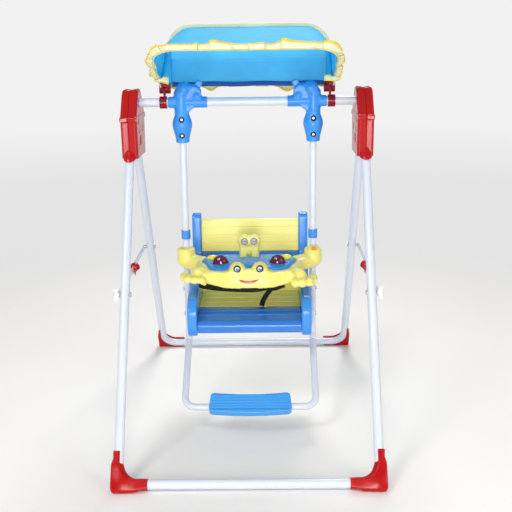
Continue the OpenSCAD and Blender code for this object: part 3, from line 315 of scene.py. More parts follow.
def moulded(name, colour, roughness, coat, shine=0.5, sss=0.0):
    """Moulded plastic: a faint orange-peel grain under a soft gloss."""
    mat, tree, shader = material(
        name, Roughness=roughness, Coat_Weight=coat, Coat_Roughness=0.12, Specular_IOR_Level=shine,
        Subsurface_Weight=sss, Subsurface_Radius=(0.006, 0.004, 0.002), Subsurface_Scale=1.0)
    vary(tree, shader, colour, amount=0.05, scale=9)
    bump(tree, shader, noise_of(tree, 900), strength=0.12, distance=0.0004)
    return mat


def powder_coat(name, colour):
    """Powder-coated steel: smooth, a little glossy, with a fine grain."""
    mat, tree, shader = material(name, Roughness=0.26, Coat_Weight=0.35, Coat_Roughness=0.1)
    vary(tree, shader, colour, amount=0.02, scale=6)
    bump(tree, shader, noise_of(tree, 1400), strength=0.08, distance=0.0003)
    return mat


def zinc(name):
    """Zinc-plated steel."""
    mat, tree, shader = material(name, Metallic=1.0, Roughness=0.34)
    vary(tree, shader, (190, 194, 202), amount=0.08, scale=120)
    bump(tree, shader, noise_of(tree, 2500), strength=0.15, distance=0.0003)
    return mat


def woven(name, colour, through, high=None, split=None):
    """Thin woven nylon: crossing threads in bump and colour, some light coming through.
    high is a second, lighter colour above the height split: painted light where that part of the cloth faces
    the light."""
    mat, tree, shader = material(name, Roughness=0.62, Sheen_Weight=0.08, Specular_IOR_Level=0.3)
    threads = []
    for direction in "XZ":
        thread = add(tree, "ShaderNodeTexWave", Vector=coords_of(tree),
                     Scale=2400, Distortion=0.6, Detail=1.0)
        thread.bands_direction = direction
        threads.append(thread.outputs["Fac"])
    weave = calc(tree, "MULTIPLY", *threads)
    cloudy = calc(tree, "MULTIPLY_ADD", weave, 0.25, noise_of(tree, 14.0, 3.0))
    shade = map_range(tree, cloudy, 0, 1, 0.88, 1.12)
    colour = srgb(*colour)
    # painted light: the cloth turns lighter above split
    if high:
        above = map_range(tree, axis_of(tree, "Z"), split - 0.002, split + 0.004)
        colour = mix_colours(tree, above, colour, srgb(*high))
    tint = vector_math(tree, "SCALE", colour, scale=shade)
    tree.links.new(tint, shader.inputs["Base Color"])
    bump(tree, shader, weave, strength=0.25, distance=0.0003)
    glow = add(tree, "ShaderNodeBsdfTranslucent", Color=tint)
    show_both(tree, through, shader, glow)
    return mat


# name: display colour, roughness, coat, shine, light under the surface
MOULDED = {
    "plastic_white": ((238, 238, 234), 0.40, 0.10),
    "plastic_red": ((178, 4, 6), 0.24, 0.12, 0.40),
    "boot_red": ((176, 3, 5), 0.24, 0.05, 0.25),
    "plastic_dark_red": ((132, 10, 28), 0.45, 0.00, 0.20),
    "plastic_blue": ((54, 140, 228), 0.26, 0.30),
    "plastic_deep_blue": ((44, 120, 208), 0.28, 0.30),
    "hanger_blue": ((54, 144, 226), 0.34, 0.08, 0.40),
    "footrest_blue": ((66, 160, 236), 0.30, 0.20),
    "back_two_tone": ((48, 128, 218), 0.28, 0.30),
    "shell_blue": ((40, 146, 222), 0.26, 0.00, 0.22),
    "panel_yellow": ((252, 240, 140), 0.32, 0.25),
    # the seat pan: panel yellow made lighter, painted light to make up for the tray's shade over it
    "pan_yellow_painted_light": ((255, 246, 142), 0.36, 0.10, 0.30),
    "tray_yellow": ((236, 225, 122), 0.28, 0.12, 0.50, 0.10),
    # the eye stalks: tray yellow made lighter, painted light to make up for the shade on them
    "stalk_yellow_painted_light": ((242, 232, 132), 0.30, 0.30, 0.50, 0.10),
    "lens_purple": ((92, 10, 52), 0.10, 0.30),
    "button_yellow": ((246, 232, 40), 0.25, 0.40),
    "button_orange": ((240, 140, 36), 0.25, 0.40),
    "eye_white": ((240, 240, 240), 0.30, 0.10),
    "webbing_black": ((14, 14, 16), 0.85, 0.00),
}
# name: display colour, share of light that comes through, second colour and where it starts; the second
# colour is painted light
WOVEN = {
    "cloth_blue": ((72, 220, 254), 0.45),
    # the rear panel's cloth, lighter above the crease: painted light where its upper part faces the light
    "cloth_rear_painted_light": ((122, 215, 245), 0.50, (140, 228, 252), 1.027),
    "hem_blue": ((40, 92, 168), 0.10),
    "binding": ((250, 254, 222), 0.20),
    "frill_cream": ((232, 238, 208), 0.25),
    "frill_gold": ((244, 214, 78), 0.20),
}

EYE_X, EYE_Z = 0.031, 0.4815
STALK_EYE_X, STALK_EYE_Z, STALK_EYE_Y = 0.0135, 0.5235, -0.026
# discs on the eyes, widest first: radius and display colour
EYE_RINGS = [(0.0120, (4, 5, 8)), (0.0062, (214, 224, 234))]
IRIS_RINGS = [(0.0050, (36, 122, 202)), (0.0028, (4, 5, 10))]
GLINT = [(0.0016, (250, 250, 250))]
STALK_RINGS = [(0.0102, (78, 76, 92)), (0.0080, (220, 214, 214)), (0.0064, (88, 84, 104)),
               (0.0046, (214, 208, 214)), (0.0024, (84, 80, 104))]
# on each screw, widest first: a dark ring of painted shade in its counterbore, the light head, and a dark dot
# of painted shade in the head's drive hole
SCREW_HEAD_AND_SHADE = [(0.0080, (10, 14, 26)), (0.0028, (206, 210, 218)), (0.0008, (60, 66, 80))]
SCREW_INSET = 0.004
# painted shade in the counterbores round the hanger screws: radius, soft edge and display colour
COUNTERBORE_SHADE = [(0.0082, 0.0006, (14, 44, 104)), (0.0068, 0.0003, (4, 6, 16))]
SMILE_X = 0.0005
LIP_RED, LIP_LINE = (176, 10, 4), (90, 30, 30)
BACK_SPLIT_Z, BACK_YELLOW = 0.392, (246, 232, 116)


def both_sides(x, z, shift=0.0):
    return [(s * x + shift, z) for s in SIGNS]


def make_materials():
    made = {name: moulded(name, *finish) for name, finish in MOULDED.items()}
    made.update({name: woven(name, *finish) for name, finish in WOVEN.items()})
    made["steel_white"] = powder_coat("steel_white", (214, 219, 231))
    for name in ("screw_steel", "hanger_screw"):
        made[name] = zinc(name)
    rings(made["eye_white"], both_sides(EYE_X, EYE_Z), EYE_RINGS, 0)
    rings(made["eye_white"], both_sides(EYE_X, EYE_Z - 0.0010, 0.0010), IRIS_RINGS, 0)
    rings(made["eye_white"], both_sides(EYE_X, EYE_Z + 0.0018, 0.0028), GLINT, 0)
    rings(made["stalk_yellow_painted_light"], both_sides(STALK_EYE_X, STALK_EYE_Z), STALK_RINGS, STALK_EYE_Y)
    smile(made["tray_yellow"], low=0.4390, dip=0.4480, ends=0.4530, half=0.0290, front=-0.15)
    band_below(made["back_two_tone"], BACK_SPLIT_Z, BACK_YELLOW)
    low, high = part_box("hanger_screws")
    screws = [(s * (high[0] - SCREW_INSET), z) for s in SIGNS
              for z in (low[2] + SCREW_INSET, high[2] - SCREW_INSET)]
    # painted shade round and in each screw head
    rings(made["hanger_screw"], screws, SCREW_HEAD_AND_SHADE, 0)
    tree = made["hanger_blue"].node_tree
    # painted shade: dark discs in the counterbore round each screw
    for screw in screws:
        away = away_from(tree, *screw)
        for radius, soft, colour in COUNTERBORE_SHADE:
            paint(tree, within(tree, away, radius, soft), colour)
    return made


make_camera()
make_studio()
make_floor()
MATERIALS = make_materials()

# ------------------------ CAD nodes

HANGERS = [n for n in nodes if n.startswith("hanger_") and n != "hanger_screws"]

# nodes whose finish isn't their slot's own
FINISH = {"seat_pan": "pan_yellow_painted_light", "footrest": "footrest_blue", "hanger_screws": "hanger_screw",
          "lower_back_panel": "back_two_tone", "tray_body": "tray_yellow", "stalk_eyes": "stalk_yellow_painted_light",
          "tray_insert": "shell_blue"}
FINISH.update({n: "hanger_blue" for n in HANGERS})
FINISH.update({n: "boot_red" for n in nodes if "_foot_" in n})

# parts whose corners the mould rounds: voxel size, smoothing passes, and how far creases fill
SOFTENED = {"stalk_eyes": (0.0010, 8, 0.0045), "tray_body": (0.0013, 14, 0.0038),
            "tray_insert": (0.0011, 4, 0), "tray_domes": (0.0008, 0, 0),
            "seat_side_left": (0.0018, 34, 0), "seat_side_right": (0.0018, 34, 0),
            "footrest": (0.0013, 16, 0), "seat_front_panel": (0.0015, 5, 0)}
SOFTENED.update({n: (0.0012, 8, 0.0016) for n in HANGERS})
SOFTENED.update({n: (0.0014, 24, 0) for n in nodes if "_foot_" in n})
SOFTENED.update({n: (0.0012, 3, 0) for n in nodes if n.startswith("housing_")})


def smooth(obj, angle=35):
    """Smooth shading with edges kept above an angle."""
    obj.data.shade_smooth()
    obj.data.set_sharp_from_angle(angle=math.radians(angle))


def soften(obj, voxel, passes, fill):
    """Rounds a moulding's edges with modifiers: fill swells it, closes the creases and shrinks it back."""
    def remesh():
        mod = obj.modifiers.new("remesh", "REMESH")
        mod.mode = "VOXEL"
        mod.voxel_size = voxel
        mod.use_smooth_shade = True

    def swell(by):
        mod = obj.modifiers.new("swell", "DISPLACE")
        mod.strength = by
        mod.mid_level = 0

    def relax():
        mod = obj.modifiers.new("relax", "SMOOTH")
        mod.iterations = passes
        mod.factor = 0.5
    remesh()
    if fill:
        swell(fill)
        remesh()
        relax()
        swell(-fill)
        remesh()
    relax()


for name, obj in nodes.items():
    obj.data.materials.clear()
    obj.data.materials.append(MATERIALS[FINISH.get(name, slot_of[name])])
    if name in SOFTENED:
        soften(obj, *SOFTENED[name])
    else:
        smooth(obj)

# ------------------------ mesh helpers


def grid_object(name, points, materials, row_material=None, round_rows=False):
    """Surface through an (n, m, 3) grid of points; row_material gives a material per strip across m."""
    n, m = points.shape[:2]
    faces, indices = [], []
    for i in range(n - 1):
        for j in range(m if round_rows else m - 1):
            k = (j + 1) % m
            faces.append((i * m + j, (i + 1) * m + j, (i + 1) * m + k, i * m + k))
            indices.append(row_material[j] if row_material else 0)
    mesh = bpy.data.meshes.new(name)
    mesh.from_pydata([tuple(v) for v in points.reshape(-1, 3)], [], faces)
    for mat in materials:
        mesh.materials.append(MATERIALS[mat])
    mesh.polygons.foreach_set("material_index", indices)
    mesh.validate()
    mesh.shade_smooth()
    return add_object(name, mesh)


def thicken(obj, thickness):
    mod = obj.modifiers.new("thickness", "SOLIDIFY")
    mod.thickness = thickness
    mod.offset = 0


def settle(piece, body, slot, *replaced):
    """Says which body a piece rides on, and the nodes that it stands for; slot is not used."""
    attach(piece, body)
    if replaced:
        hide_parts(*replaced)


def lengths(path):
    """Distance along a polyline at each of its points."""
    steps = np.linalg.norm(np.diff(path, axis=0), axis=1)
    return np.concatenate([[0], np.cumsum(steps)])


def resample(at, s, values):
    """Rows of values, known at distances at, read at distances s."""
    return np.stack([np.interp(s, at, values[:, k]) for k in range(values.shape[1])], axis=1)


def unit(v):
    return v / np.maximum(np.linalg.norm(v, axis=-1, keepdims=True), 1e-12)


def square_to(direction, tangent):
    """The unit direction, turned square to tangent at each point."""
    return unit(direction - (direction * tangent).sum(axis=1, keepdims=True) * tangent)


def tangents(path):
    return unit(np.gradient(path, axis=0))


def every(direction, path):
    return np.tile(np.array(direction, float), (len(path), 1))


def sweep(name, path, across, thick, half_width, half_thick, mat, sides=12):
    """A rounded band along a path; across and thick are its two directions at each point."""
    turns = np.linspace(0, 2 * math.pi, sides, endpoint=False)
    grid = np.stack([path + across * (math.cos(a) * half_width) + thick * (math.sin(a) * half_thick)
                     for a in turns], axis=1)
    return grid_object(name, grid, [mat], round_rows=True)


def wave(p, scale, seed):
    """Smooth noise at a point, about -1..1."""
    return noise.noise(Vector((p[0] * scale + seed, p[1] * scale - seed, p[2] * scale + 3.1 * seed)))


def clamp(t):
    return min(1, max(0, t))


def ease(x, start, end):
    """0 before start, 1 after end, and a smooth step between."""
    t = np.clip((x - start) / (end - start), 0, 1)
    return t * t * (3 - 2 * t)


def hump(x, width):
    return np.exp(-(x / width) ** 2)


# ------------------------ canopy cloth

CLOTH_LOW, CLOTH_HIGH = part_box("canopy_cover")
WIRE_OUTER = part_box("rear_bow")[1][0]
WIRE_R = 0.003
HALF = WIRE_OUTER + 0.0010
FRONT_Y, REAR_Y = CLOTH_LOW[1], CLOTH_HIGH[1]
HEM_Z, REAR_Z = CLOTH_LOW[2] - 0.003, CLOTH_HIGH[2]
PIVOT_Z = 0.956
FRONT_Z = 1.070
FRONT_REACH = math.hypot(FRONT_Y, FRONT_Z - PIVOT_Z)
FRONT_LOW = 0.064
FRONT_CORNER, REAR_CORNER = 0.064, 0.072
SLEEVE_Y, SLEEVE_R = REAR_Y - 0.0065, 0.0072
SLEEVE_OUT = 0.0074
TOP_Z = REAR_Z - 0.0068
FRONT_UP = np.array([0, FRONT_Y, FRONT_Z - PIVOT_Z]) / FRONT_REACH
# the ends of the casings round the rear bow's legs; their x is each leg's own
CASING_FOOT = np.array([0, 0.030, PIVOT_Z + 0.0160])
CASING_HEAD = np.array([0, 0.168, PIVOT_Z + 0.0898])
# how far the cover's top sags and creases, its sides fold in and out, and the rear panel waves
SAG, CREASE = 0.0035, 0.0022
FOLD_IN, FOLD_OUT = 0.0072, 0.0045
RIDGE, SWAY, CORNER_FOLD = 0.0025, 0.0024, 0.0012
RIDGE_Z = 1.028
COVER_THICK, FRILL_THICK = 0.0009, 0.0007
HOOD_ROWS, PANEL_ROWS, PANEL_COLUMNS = 44, 46, 90


def arch(half, low, high, corner, steps=14):
    """Points (x, height) up the left side, over the top and down the right.
    steps are taken up the side, and again round the corner."""
    left = [(-half, low + (high - corner - low) * i / steps) for i in range(steps)]
    left += [(-half + corner - corner * math.cos(a), high - corner + corner * math.sin(a))
             for a in np.linspace(0, math.pi / 2, steps, endpoint=False)]
    middle = [(x, high) for x in np.linspace(corner - half, half - corner, 40)]
    right = [(-x, z) for x, z in reversed(left)]
    return np.array(left + middle + right)


def in_front_plane(points):
    """(x, height) from the pivot line, laid in the plane of the front bow."""
    return points[:, :1] * (1, 0, 0) + (0, 0, PIVOT_Z) + points[:, 1:] * FRONT_UP


def at_rear(points, y):
    return np.stack([points[:, 0], np.full(len(points), y), points[:, 1]], axis=1)


FRONT_ARCH = arch(HALF, FRONT_LOW, FRONT_REACH, FRONT_CORNER)
REAR_ARCH = arch(HALF, HEM_Z, TOP_Z, REAR_CORNER)


def side_low_z(y):
    """Height of the lower edge of the side walls."""
    front = PIVOT_Z + FRONT_LOW * FRONT_UP[2]
    return front + (HEM_Z - front) * y / REAR_Y


def clear_of_wires(y, z):
    """0 over a bow's leg and 1 well away from it, for a point of a side wall."""
    near = 1.0
    for top_y, top_z in ((FRONT_Y, FRONT_Z), (REAR_Y - 0.006, REAR_Z - 0.006)):
        reach = math.hypot(top_y, top_z - PIVOT_Z)
        near = min(near, abs(y * (top_z - PIVOT_Z) - (z - PIVOT_Z) * top_y) / reach)
    return float(ease(near, 0.004, 0.024))


def hood_point(p, v):
    """Sags a point of the top and folds a point of the side walls, v of the way to the rear."""
    outside = math.copysign(1, p[0])
    crest = FRONT_Z + (TOP_Z - FRONT_Z) * v
    held = math.sin(math.pi * v) ** 0.7
    top = clamp((p[2] - (crest - 0.05)) / 0.04) * min(1, (HALF - abs(p[0])) / 0.05)
    crease = wave((p[0] * 0.35, p[1] * 1.6, 0), 16, 2.0) + 0.4 * wave((p[0], p[1], 0), 30, 5.0)
    side = clamp((abs(p[0]) - HALF + 0.02) / 0.015) * clamp((1 - v) / 0.12)
    p[2] -= top * held * (SAG + CREASE * crease)
    drop = clamp((crest - p[2]) / 0.12)
    spread = math.atan2(p[1] - FRONT_Y, max(0.01, REAR_Z + 0.01 - p[2]))
    fold = math.sin(spread * 17 + 0.7 + 1.3 * outside) + 0.5 * wave(p, 22, 7.0)
    inward = FOLD_IN * fold * (0.25 + 0.75 * min(1, v / 0.1))
    p[0] -= outside * side * drop * clear_of_wires(p[1], p[2]) * max(-FOLD_OUT, inward)


def hood_grid():
    """The top and both side walls: rows of the arch, from the front bow to the rear one."""
    front, rear = in_front_plane(FRONT_ARCH), at_rear(REAR_ARCH, REAR_Y - 0.0012)
    grid = np.zeros((HOOD_ROWS, len(front), 3))
    for i, v in enumerate(np.linspace(0, 1, HOOD_ROWS)):
        grid[i] = (1 - v) * front + v * rear
        for p in grid[i]:
            hood_point(p, v)
    return grid


def rear_grid():
    """The rear panel: every column runs from the hem up to the arch."""
    grid = np.zeros((PANEL_ROWS, PANEL_COLUMNS, 3))
    edge = REAR_ARCH[REAR_ARCH[:, 1] > TOP_Z - REAR_CORNER - 1e-6]
    edge = edge[np.argsort(edge[:, 0])]
    for j, x in enumerate(np.linspace(-HALF, HALF, PANEL_COLUMNS)):
        high = np.interp(x, edge[:, 0], edge[:, 1]) + 0.001
        for i, w in enumerate(np.linspace(0, 1, PANEL_ROWS)):
            z = HEM_Z + w * (high - HEM_Z)
            inside = min(1, (HALF - abs(x)) / 0.03) * min(1, 4 * (1 - w)) * min(1, 0.3 + 3 * w)
            ridge = hump(z - RIDGE_Z, 0.006)
            sway = wave((x * 0.7, 0, z * 1.8), 13, 4.0) + 0.5 * wave((x, 0, z), 34, 9.0)
            corner = math.sin((abs(x) - 0.5 * (z - 0.95)) * 95) * max(0, (abs(x) - 0.13) / 0.12)
            y = REAR_Y - 0.001 - inside * (RIDGE * ridge + SWAY * sway + CORNER_FOLD * corner)
            grid[i, j] = (x, y, z)
    return grid


def make_hood():
    """The blue cover over both bows, and the panel that hangs from the rear one."""
    hood = grid_object("canopy_hood", hood_grid(), ["cloth_blue"])
    rear = grid_object("canopy_rear_panel", rear_grid(), ["cloth_rear_painted_light"])
    around = lengths(in_front_plane(FRONT_ARCH))[-1]
    for obj, flat in ((hood, (around * 1.16, REAR_Y - FRONT_Y + 0.03)),
                      (rear, (2 * HALF, REAR_Z - HEM_Z + 0.012))):
        thicken(obj, COVER_THICK)
    return [hood, rear]


def make_binding():
    """The rear bow runs in a bound sleeve along the seam of the rear panel."""
    seam = arch(HALF + SLEEVE_OUT, HEM_Z + 0.004, REAR_Z - 0.0036, REAR_CORNER + SLEEVE_OUT)
    path = at_rear(seam, SLEEVE_Y)
    out = square_to(path - (0, SLEEVE_Y, 0.5 * (HEM_Z + REAR_Z)), tangents(path))
    back = every((0, 1, 0), path)
    binding = sweep("canopy_binding", path, out, back, SLEEVE_R, SLEEVE_R - 0.0006, "binding")
    return binding


def make_hem():
    """The dark turned edge along the bottom of the rear panel."""
    reach = HALF - 0.004
    path = np.array([[x, REAR_Y - 0.0035, HEM_Z + 0.007] for x in np.linspace(-reach, reach, 40)])
    path[:, 2] += 0.0012 * np.sin(path[:, 0] * 40)
    up, back = every((0, 0, 1), path), every((0, 1, 0), path)
    hem = sweep("canopy_hem", path, up, back, 0.0072, 0.0016, "hem_blue")
    return hem


def make_casings():
    """The casings sewn inside the side walls, which hide the legs of the rear bow."""
    out = []
    for s, side in SIDES:
        at = np.linspace(0, 1, 40)[:, None]
        x = s * (WIRE_OUTER - WIRE_R - 0.0004)
        path = CASING_FOOT + at * (CASING_HEAD - CASING_FOOT) + (x, 0, 0)
        path[:, 0] -= s * 0.0006 * np.sin(at[:, 0] * 23 + s)
        inward = every((1, 0, 0), path)
        across = np.cross(tangents(path), inward)
        casing = sweep("wire_casing_" + side, path, across, inward, 0.0058, 0.0046, "cloth_blue", sides=16)
        out.append(casing)
    return out


# ------------------------ frills

# rows across a frill, from its lower edge to its upper one, and the material of each strip
FRILL_ROWS = np.array([-1, -0.82, -0.60, -0.30, 0, 0.30, 0.60, 0.82, 1])
FRILL_STRIPS = [1, 1, 0, 0, 0, 0, 1, 1]
FRILL_TURN = 0.021
# the pleats of the front frill, from its middle, and what lifts its upper edge: place, reach, rise
FRONT_PLEATS = ((-0.250, -0.212), (-0.199, -0.119), (-0.088, -0.032),
                (0.007, 0.052), (0.091, 0.182), (0.196, 0.246))
FRONT_LIFTS = ((-0.078, 0.016, 0.009), (-0.052, 0.012, 0.003), (0.098, 0.014, 0.009), (0.128, 0.03, 0.005),
               (-0.222, 0.02, 0.004), (0.214, 0.022, 0.009), (-0.122, 0.006, 0.003))
# where the hem frill hangs lower at the back, from its middle: place, reach, drop
HEM_DROPS = ((-0.121, 0.017, 0.013), (0.12, 0.024, 0.017), (-0.232, 0.012, 0.008), (0.236, 0.012, 0.006))


def pleat_profile(boxes, depth):
    """Box pleats as (distance, offset) points: each box is (start, end), and its edges fold under."""
    out = []
    for start, end in boxes:
        tuck = min(0.0055, (end - start) * 0.15)
        out += [(start + tuck, 0.15), (start + 0.4 * tuck, 0.55), (start, 0.85), (start + 0.0012, 1.0),
                (start + 0.33 * (end - start), 1.05), (start + 0.66 * (end - start), 0.98),
                (end - 0.0012, 1.0), (end, 0.85), (end - 0.4 * tuck, 0.55), (end - tuck, 0.15)]
    return np.array([(s, depth * d) for s, d in out])


def flare(k, s, start, end, front, seed):
    """How far pleat k lifts the frill's upper edge and drops its lower one at s."""
    tilt = noise.noise(Vector((k * 2.3, seed, 1.7)))
    across = (s - start) / (end - start) - 0.5
    return (front * (0.0016 + 0.006 * tilt * across + 0.0016 * abs(across)),
            front * (0.0012 - 0.005 * tilt * across + 0.0012 * abs(across)))


def frill(name, path, rise, out, boxes, width, depth, edge, seed):
    """A pleated strip along path: rise is the strip's width direction, out the way its pleats stand.
    edge(s) gives how far the strip's upper and lower edges reach past its width."""
    folds = pleat_profile(boxes, depth)
    at = lengths(folds)
    flat_length = at[-1]
    s, d = resample(at, np.linspace(0, flat_length, int(flat_length / 0.0016)), folds).T
    base, up, off = (resample(lengths(path), s, way) for way in (path, rise, out))
    up, off = unit(up), unit(off)
    grid = np.zeros((len(s), len(FRILL_ROWS), 3))
    for i in range(len(s)):
        top, bottom = edge(s[i])
        front = clamp((d[i] / depth - 0.15) / 0.7)
        for k, (start, end) in enumerate(boxes):
            if start - 0.001 <= s[i] <= end + 0.001 and front > 0:
                lift, drop = flare(k, s[i], start, end, front, seed)
                top, bottom = top + lift, bottom + drop
                break
        ripple = 0.0016 * noise.noise(Vector((s[i] * 30, seed, 0)))
        for j, r in enumerate(FRILL_ROWS):
            w = r * width / 2 + (max(0, r) * top + max(0, -r) * bottom) + ripple
            stand = d[i] * (1 - 0.25 * abs(r)) + 0.0012 * noise.noise(Vector((s[i] * 90, r * 2, seed)))
            grid[i, j] = base[i] + up[i] * w + off[i] * stand
    obj = grid_object(name, grid, ["frill_cream", "frill_gold"], FRILL_STRIPS)
    thicken(obj, FRILL_THICK)
    return obj


def even_boxes(start, end, count, share, seed):
    """Boxes spread evenly from start to end, each a little different."""
    period = (end - start) / count
    out = []
    for i in range(count):
        a = start + period * (i + 0.5 * (1 - share))
        wobble = 0.12 * period * noise.noise(Vector((i * 1.7 + seed, seed, 0.5)))
        out.append((a + wobble, a + period * share + 0.6 * wobble))
    return out


def make_front_frill():
    """Round the front arch, with both ends turned in above the clamps."""
    turn = FRONT_LOW + FRILL_TURN
    sides = arch(HALF + 0.001, turn, FRONT_REACH + 0.001, FRONT_CORNER, steps=18)
    tail = [(-HALF + x, turn - FRILL_TURN) for x in (0.048, 0.034)]
    curl = [(-HALF + 0.020 - FRILL_TURN * math.cos(a), turn - FRILL_TURN * math.sin(a))
            for a in np.linspace(math.pi / 2, 0, 8, endpoint=False)]
    left = tail + curl
    flat = np.array([*left, *sides, *[(-x, h) for x, h in reversed(left)]])
    path = in_front_plane(flat)
    # the strip stands upright along the top and turns outwards down the sides
    upright = at_rear(flat, 0)
    rise = square_to(upright - (0, 0, 0.14), tangents(upright))
    out = unit(np.cross(rise, tangents(path)))
    out *= np.where(out[:, 1:2] + 0.3 * out[:, 2:3] > 0, -1, 1)
    total = lengths(path)[-1]
    mid = total / 2
    boxes = even_boxes(0.004, mid - 0.262, 3, 0.66, 3.0)
    boxes += [(mid + start, mid + end) for start, end in FRONT_PLEATS]
    boxes += even_boxes(mid + 0.252, total - 0.004, 3, 0.66, 8.0)

    def edge(s):
        side = clamp((abs(s - mid) - 0.20) / 0.05)
        loop = math.sin(s * 2 * math.pi / 0.083 + 1.9)
        lifts = sum(height * hump(s - mid - place, reach) for place, reach, height in FRONT_LIFTS)
        return side * (0.0016 + 0.0018 * loop) + lifts, side * 0.0008 * loop
    return frill("frill_front", path, rise, out, boxes, 0.0165, 0.0110, edge, 1.0)


def make_hem_frill():
    """Along the lower edges of the sides and round the back."""
    edge_x, bend_y, bend_r = -HALF - 0.002, REAR_Y - 0.012, 0.014
    side = np.array([[edge_x, y, side_low_z(y)] for y in np.linspace(0.012, bend_y, 30)])
    corner = np.array([[edge_x + bend_r * (1 - math.cos(a)), bend_y + bend_r * math.sin(a), HEM_Z]
                       for a in np.linspace(0.15, math.pi / 2, 8)])
    back = np.array([[x, REAR_Y + 0.002, HEM_Z] for x in np.linspace(-HALF + 0.02, HALF - 0.02, 60)])
    left = np.vstack([side, corner])
    path = np.vstack([left, back, left[::-1] * (-1, 1, 1)])
    path[:, 2] += 0.006
    ahead = tangents(path)
    out = np.stack([-ahead[:, 1], ahead[:, 0], 0 * ahead[:, 0]], axis=1)
    total = lengths(path)[-1]
    mid = total / 2
    boxes = even_boxes(0.004, total - 0.004, int(total / 0.085), 0.62, 5.0)

    def edge(s):
        peek = sum(drop * hump(s - mid - place, reach) for place, reach, drop in HEM_DROPS)
        return 0.0012 * math.sin(s * 71), -peek
    return frill("frill_hem", path, every((0, 0, 1), path), out, boxes, 0.017, 0.0075, edge, 6.0)


def make_canopy():
    hood, rear = make_hood()
    pieces = [hood, rear, make_binding(), make_hem(), make_front_frill(), make_hem_frill(), *make_casings()]
    for piece in pieces:
        settle(piece, "canopy", "cloth_blue")
    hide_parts("canopy_cover")


make_canopy()

# ------------------------ crab tray

FACE_Y = -0.19
# swells and, where negative, hollows: how far they stand out, centre and spread.
# Those off the middle come in pairs.
CHEEK = (0.0035, (0.056, FACE_Y, 0.446), (0.018, 0.03, 0.012))
MOUTH_END = (0.0022, (0.034, FACE_Y, 0.447), (0.011, 0.03, 0.007))
JOWL = (-0.0020, (0.086, -0.18, 0.448), (0.010, 0.04, 0.03))
CHIN = (0.0018, (0, FACE_Y, 0.438), (0.030, 0.03, 0.008))
LIP = (-0.0010, (0, FACE_Y, 0.452), (0.016, 0.03, 0.004))
DISH = (-0.0015, (0.081, -0.092, 0.47), (0.030, 0.022, 1))
RIM = (0.0030, (0.118, -0.085, 0.47), (0.008, 0.035, 1))
CLAW = (0.150, -0.140, 0.447)
LENS_RISE = 1.34
DOMES_LOW, DOMES_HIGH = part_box("tray_domes")
EYE_Y, EYE_SIZE, EYE_TILT = -0.1893, (0.0103, 0.0038, 0.0103), -0.16
KNOB_AT, KNOB_SIZE, KNOB_TILT = (0.1866, -0.0285, 0.4972), (0.0068, 0.0062, 0.0058), -0.5


def sculpted(node, name, shape):
    """A copy of a softened CAD node, moved point by point by shape(points)."""
    source = nodes[node]
    mesh = bpy.data.meshes.new_from_object(source.evaluated_get(bpy.context.evaluated_depsgraph_get()))
    source.modifiers.clear()
    points = np.empty(len(mesh.vertices) * 3)
    mesh.vertices.foreach_get("co", points)
    points = shape(points.reshape(-1, 3))
    mesh.vertices.foreach_set("co", points.ravel())
    mesh.update()
    mesh.shade_smooth()
    return add_object(name, mesh)


def relief(p, height, centre, spread, side=1):
    """height at centre, falling off by spread along each axis; side -1 mirrors it to the left."""
    middle = (side * centre[0], *centre[1:])
    return height * np.exp(-(((p - middle) / spread) ** 2).sum(axis=1))


def crab(p):
    """Deepens the face, swells its cheeks and brows, and makes the claws fuller."""
    q = p.copy()
    x, y, z = p.T
    ahead = 1 - ease(y, -0.15, -0.09)
    low = 1 - ease(z, 0.430, 0.468)
    q[:, 2] -= 0.0120 * ahead * low * (1 - ease(np.abs(x), 0.050, 0.150))
    for s in SIGNS:
        for mark in (CHEEK, MOUTH_END, JOWL):
            q[:, 1] -= relief(p, *mark, s) * ahead
        claw = ease(s * x, 0.108, 0.135) * (1 - ease(y, -0.115, -0.085))
        centre = np.array([s * CLAW[0], *CLAW[1:]])
        # the claws differ a little in size and height, as the real ones do
        size, lift = (1.10, 1.05, 1.06 + 0.08 * s), (s * 0.001, 0, 0.0035 - 0.0050 * s)
        grown = centre + (p - centre) * size + lift
        q += claw[:, None] * (grown - p)
    for mark in (CHIN, LIP):
        q[:, 1] -= relief(p, *mark) * ahead
    brow = ease(z, 0.455, 0.471) * (1 - ease(np.abs(x), 0.046, 0.072))
    front = 0.0050 * (1 - ease(y, -0.156, -0.140))
    q[:, 2] += brow * (front + 0.0065 * hump(x, 0.015) * (1 - ease(y, -0.182, -0.170)))
    q[:, 1] -= 0.0016 * brow * (1 - ease(y, -0.182, -0.172))
    return q


def shell(p):
    """Relief of the crab's blue back: a raised middle, rolled rims and shallow dishes round the domes."""
    q = p.copy()
    x, y, z = p.T
    top = ease(z, 0.466, 0.473)
    middle = hump(x, 0.040) * (1 - ease(y, -0.055, -0.040)) * ease(y, -0.150, -0.105)
    wings = hump(np.abs(x) - 0.054, 0.010) * (1 - ease(y, -0.075, -0.045)) * ease(y, -0.150, -0.125)
    q[:, 2] += top * (0.0075 * middle + 0.0040 * wings)
    q[:, 1] -= 0.030 * hump(x, 0.030) * (1 - ease(y, -0.118, -0.080))
    for s in SIGNS:
        for mark in (DISH, RIM):
            q[:, 2] += top * relief(p, *mark, s)
    return q


def stalks(p):
    """Two columns with a soft valley between them, closed at the foot."""
    q = p.copy()
    x, y, z = p.T
    valley = hump(x, 0.0065)
    face = -0.0380 + 0.0052 * valley
    hollow = (np.abs(x) < 0.0125) & (z < 0.4985) & (y > face) & (y < -0.018)
    q[hollow, 1] = face[hollow]
    front = (1 - ease(y, -0.036, -0.028)) * (1 - ease(z, 0.505, 0.517)) * ~hollow
    q[:, 1] += front * 0.0042 * valley
    for s in SIGNS:
        q[:, 1] += front * 0.0008 * hump(x - s * 0.0185, 0.0022)
    return q


